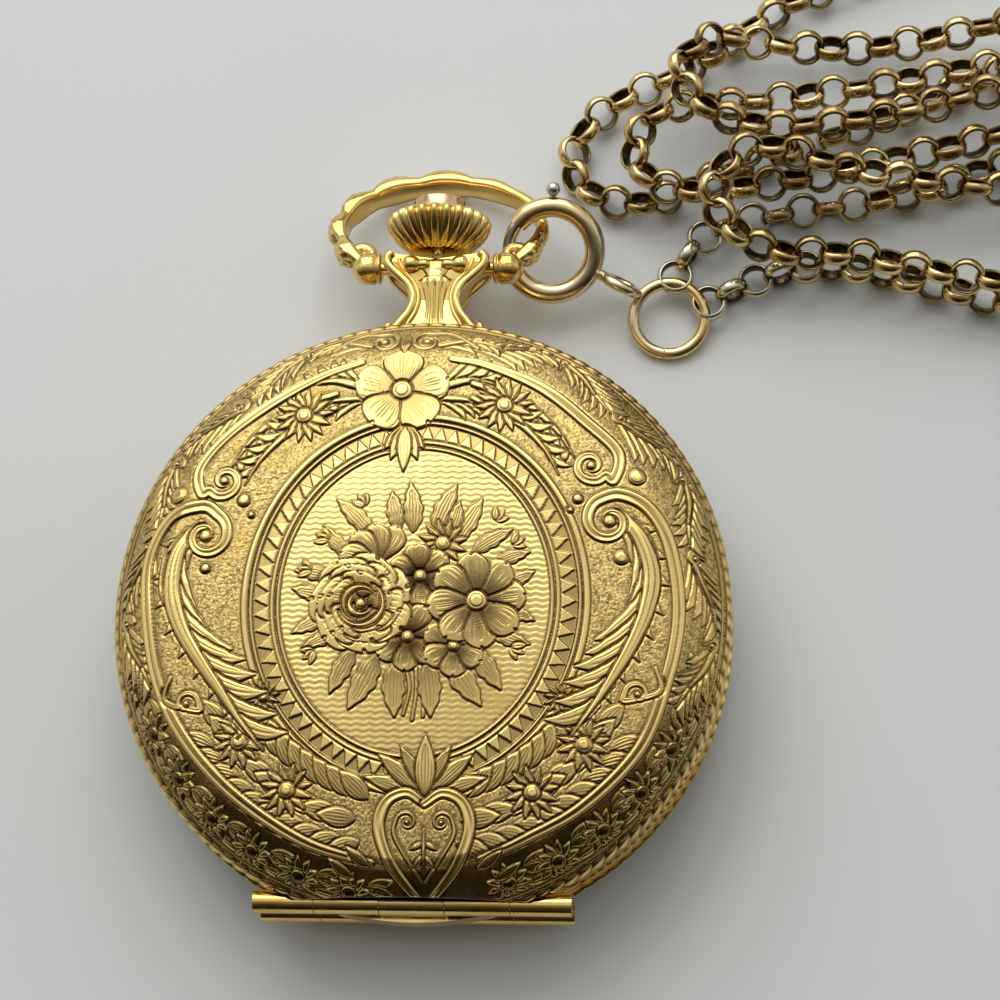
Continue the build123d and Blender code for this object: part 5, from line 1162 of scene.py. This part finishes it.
def link_ring(seed):
    """Make one belcher link round its own centre: flat inside, domed outside, slightly worn."""
    inner = link_outer / 2 - link_wall
    half = link_width / 2
    squash = 0.965 + 0.02 * seed
    points = []
    for index in range(link_steps):
        angle = 2 * math.pi * index / link_steps
        for out, across in link_section:
            reach = inner + out * link_wall
            points.append((reach * math.cos(angle) * squash, reach * math.sin(angle), across * half))
    return np.array(points), grid_faces(link_steps, len(link_section), True, True)


def add_necklace(material):
    line = necklace_line()
    lengths = np.concatenate([[0], np.cumsum(np.linalg.norm(np.diff(line, axis=0), axis=1))])
    total = lengths[-1]
    count = int(round((total - 2 * necklace_inset) / link_pitch))
    count = count + 1 - count % 2
    source = random.Random(5)
    parts = []
    fresh = []
    for index, place in enumerate(np.linspace(necklace_inset, total - necklace_inset, count)):
        before, centre, after = [Vector([np.interp(spot, lengths, line[:, axis]) for axis in range(3)])
                                 for spot in (max(place - 0.4 * mm, 0), place, min(place + 0.4 * mm, total))]
        along = (after - before).normalized()
        across = Vector((0, 0, 1)).cross(along).normalized()
        up = along.cross(across)
        end = min(index, count - 1 - index)
        free = min(1, end / links_from_end)
        loose = free * source.uniform(-link_roll, link_roll)
        tip = math.radians(free * source.uniform(-link_tip, link_tip))
        roll = math.radians(45.0 * free + 90 * (index % 2) + loose)
        side = across * math.cos(roll) + up * math.sin(roll)
        ahead = along * math.cos(tip) + along.cross(side) * math.sin(tip)
        shape, quads = link_ring(source.random())
        parts.append((shape @ np.array([ahead, side, ahead.cross(side)]) + np.array(centre), quads))
        fresh.extend([max(0.0, 1 - end / 7)] * len(shape))
    chain = mesh_piece("necklace_chain", *join_parts(parts), "case", material)
    set_field(chain.data, "fresh", fresh)
    # Painted shade: each link's inner face gets hollow 1, which the chain's material darkens.
    set_field(chain.data, "hollow", [1 - out for out, across in link_section] * (link_steps * count))
    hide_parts(*[f"necklace_strand_{index + 1}" for index in range(8)])


# Crown, bow, neck and band

def add_crown(material, cap_material):
    """Make the fluted onion crown and its smooth cap."""
    length = crown_high[1] - crown_low[1]

    def swell(row, angle):
        """Give the swell of the flutes by row and angle."""
        return 1 - crown_shape[row][2] * (1 - abs(math.cos(crown_flutes * angle / 2)) ** 0.7)

    profile = [(crown_radius * reach, length * share) for share, reach, cut in crown_shape]
    place = turned_about((0, crown_low[1], stem_z), -90, "X")
    points, faces = turned(profile, crown_flutes * 12, place, swell)
    crown = mesh_piece("crown_onion", points, faces, "crown_set", material)
    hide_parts("crown")
    radius = cap_high[0] * 0.66
    rise = cap_high[1] - cap_low[1]
    profile = [(radius * 0.98, -cap_root), (radius, 0.0), (radius, rise * 0.70),
               (radius * 0.985, rise * 0.78)]
    for share in np.linspace(0.03, 1, 14):
        angle = share * math.pi / 2
        profile.append((max(radius * 0.985 * math.cos(angle) ** 0.6, tip_radius),
                        rise * (0.78 + 0.22 * math.sin(angle))))
    place = turned_about((0, cap_low[1] - cap_sink, stem_z), -90, "X")
    cap = mesh_piece("crown_dome", *turned(profile, 96, place), "crown_set", cap_material)
    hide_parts("crown_cap")


def leaf_swell(share, across, veins):
    """Give the height of one leaf of the bow, at a share along it and a share across it."""
    half = math.sin(math.pi * min(max(share, 0.0), 1.0) ** 0.8) ** 0.6
    if half < 0.05 or abs(across) / half >= 1:
        return 0.0
    place = abs(across) / half
    rib = math.exp(-(place / 0.14) ** 2) * 0.5
    vein = 0.35 * abs(math.sin(math.pi * (share * veins - place * 1.4))) ** 3
    return max(0.0, (1 - place ** 3) * (1 - rib) - vein * 0.7)


def add_bow(material):
    """Make the leafy bow with its smooth inner face, its end scrolls and two bullet ends."""
    rows = bow_leaves * 44
    outer = 19
    drop = turned_about((0, pivot_y, stem_z), -bow_drop, "X")
    points = []
    for row in range(rows + 1):
        share = row / rows
        bearing = bow_start + (180 - 2 * bow_start) * share
        part = (share * bow_leaves) % 1.0
        part = 1 - part if share < 0.5 else part
        taper = min(1.0, 9 * min(share, 1 - share) + 0.45)
        free = 1 - 0.8 * math.exp(-((bearing - bow_ring_bearing) / bow_ring_spread) ** 4)
        lobe = math.sin(math.pi * part ** 1.3) * free
        wide = bow_depth / 2 * (0.88 + 0.04 * free + 0.22 * lobe) * taper
        section = []
        for column in range(outer):
            across = 1 - 2 * column / (outer - 1)
            rise = 0.34 * free * leaf_swell(part, across * 0.95, 5)
            rim = 0.14 * free * math.exp(-((abs(across) - 0.9) / 0.08) ** 2)
            section.append((across, 0.80 + rise + rim + 0.38 * lobe * taper - 0.22 * across ** 2))
        angle = math.radians(bearing)
        for across, out in (*section, *bow_inside):
            x = (bow_half + bow_band * out) * math.cos(angle)
            y = bow_centre + (bow_rise + bow_band * out) * math.sin(angle)
            points.append(drop @ Vector((x, y, across * wide)))
    parts = [(points, capped_faces(rows + 1, outer + len(bow_inside), 1))]
    flat = [(1.0 * a, 1.25 * b) for a, b in (polar(1.0, 30 * index) for index in range(12))]
    radii = [0.34 * mm * (1 - 0.45 * step / 21) for step in range(22)]
    for way in (1, -1):
        curl = []
        for step in range(22):
            x, y = polar(0.70 * (1 - step / 30), 250 - step * 21, 4.75, 1.30)
            curl.append(drop @ Vector((way * x * mm, y * mm, 0)))
        parts.append(swept(curl, radii, 12, flat))
    length = bow_end_outer - bow_end_inner
    profile = [(bow_end_radius * wide, length * share) for wide, share in bow_end_shape]
    for share in np.linspace(0.0, 1.0, 14):
        angle = share * math.pi / 2
        reach = max(bow_end_radius * math.cos(angle), tip_radius)
        profile.append((reach, length * (0.46 + 0.54 * math.sin(angle))))
    for way in (1, -1):
        parts.append(turned(profile, 48, turned_about((way * bow_end_inner, pivot_y, stem_z), 90 * way, "Y")))
    bow = mesh_piece("bow_leafy", *join_parts(parts), "bow_set", material)
    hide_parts("bow")


def add_neck_work(material):
    """Lay the fluted vase, the knobbed bar and the ridged edges over both faces of the neck."""
    span = neck_high[1] - neck_base
    deep = (neck_high[2] - neck_low[2]) / 2
    points = []
    count = 144
    for share, wide, tall in neck_vase:
        flutes = 0.14 if 0.14 < share < 0.67 else 0.0
        for index in range(count):
            angle = 2 * math.pi * index / count
            lobe = 1 - flutes * (1 - abs(math.cos(angle * 9)) ** 0.6)
            points.append((wide * mm * lobe * math.cos(angle), neck_base + span * share,
                           stem_z + deep * tall * lobe * math.sin(angle)))
    parts = [(points, capped_faces(len(neck_vase), count))]
    knob = [(radius * mm, height * mm) for radius, height in neck_knob]

    def rod(line, shrink, level, rise, radius, sides):
        """Add a round rod along a flat line, laid over one face of the neck."""
        path = [(x * mm * shrink, neck_base + y * mm, stem_z + level * deep * rise) for x, y in line]
        parts.append(swept(path, [radius * mm] * len(path), sides))

    for way in (1, -1):
        edge = smooth_line([(way * x, share * span / mm) for share, x in neck_edge], 7)
        coil = [polar(0.52 * (1 - step / 26), 90 - way * (30 + step * 27), way * 2.35, 0.55)
                for step in range(20)]
        for level in (1, -1):
            rod(edge, 0.96, level, 0.96, 0.30, 14)
            rod(edge[6:-8], 0.72, level, 1.0, 0.13, 10)
            place = (way * 1.95 * mm, neck_base + span * 0.86, stem_z + level * deep * 1.05)
            parts.append(turned(knob, 24, turned_about(place, -90 * way, "Y")))
            rod(coil, 1, level, 0.92, 0.16, 10)
    work = mesh_piece("neck_ornament", *join_parts(parts), "case", material)


def add_band_ropes(material):
    """Lay the roped edge along both rims of the band."""
    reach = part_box("case_band")[1][0] - 0.05 * mm
    count = rope_turns * 8
    radii = [0.21 * mm * (0.80 + 0.20 * abs(math.sin(math.pi * index / 8))) for index in range(count + 1)]
    parts = []
    for z in rope_levels:
        path = [(*polar(reach, -58 + 296 * index / count), z) for index in range(count + 1)]
        parts.append(swept(path, radii, 10))
    ropes = mesh_piece("band_ropes", *join_parts(parts), "case", material)


# The scene

bright_gold = (0.81, 0.615, 0.225)
# Near-black gold for the engraved cuts and for the painted shade in the relief's recesses.
cut_and_shade_gold = (0.045, 0.025, 0.009)
materials = {
    "case_gold": worn_metal("polished_gold", bright_gold, (0.70, 0.46, 0.13), 0.15),
    "inner_gold": worn_metal("inner_gold", (0.84, 0.62, 0.25), (0.80, 0.57, 0.21), 0.16, 2600.0, 0.006, 0.05),
    "rose_gold": worn_metal("rose_gold", (0.83, 0.55, 0.33), (0.72, 0.42, 0.22), 0.12),
    "chain_brass": link_brass("chain_brass"),
    "clasp_gold": worn_metal("clasp_gold", (0.78, 0.57, 0.22), (0.68, 0.58, 0.40), 0.16, 420.0),
    "steel": worn_metal("polished_steel", (0.62, 0.62, 0.62), (0.50, 0.49, 0.47), 0.16),
    "blued_steel": worn_metal("blued_steel", (0.035, 0.06, 0.26), (0.02, 0.03, 0.14), 0.20),
    "nickel": striped_nickel("striped_nickel"),
    "train_brass": worn_metal("gilt_brass", (0.78, 0.56, 0.20), (0.66, 0.44, 0.13), 0.22),
    "enamel": white_enamel("white_enamel"),
    "ruby": ruby_glass("ruby"),
    "crystal_glass": clear_glass("clear_glass"),
}
bpy.context.scene.view_settings.view_transform = "Standard"
add_camera()
add_necklace(materials["chain_brass"])
add_floor(floor_paper())
add_world()
add_key_lamp()
dress_nodes(materials)
engraved = engraved_gold("engraved_gold", bright_gold, cut_and_shade_gold, (0.62, 0.38, 0.10))
front_rows = cover_profile(0.0, cover_top / mm, shoulder_z / mm, lip_z / mm, front_rim_z / mm)
back_rows = cover_profile(back_flat / mm, 0.0, -back_rise / mm, -back_lip_z / mm, -back_rim_z / mm)
rim = line_lengths(front_rows)[-1]
cover_skin("front_cover_engraving", front_relief(front_rows), front_rows, 1, "front_lid", engraved, skin_grid)
cover_skin("back_cover_engraving", back_relief(rim), back_rows, -1, "back_lid", engraved, back_grid)
add_dial_print(ink("fired_ink"))
add_crown(materials["case_gold"], materials["rose_gold"])
add_bow(materials["case_gold"])
add_neck_work(materials["case_gold"])
add_band_ropes(materials["case_gold"])
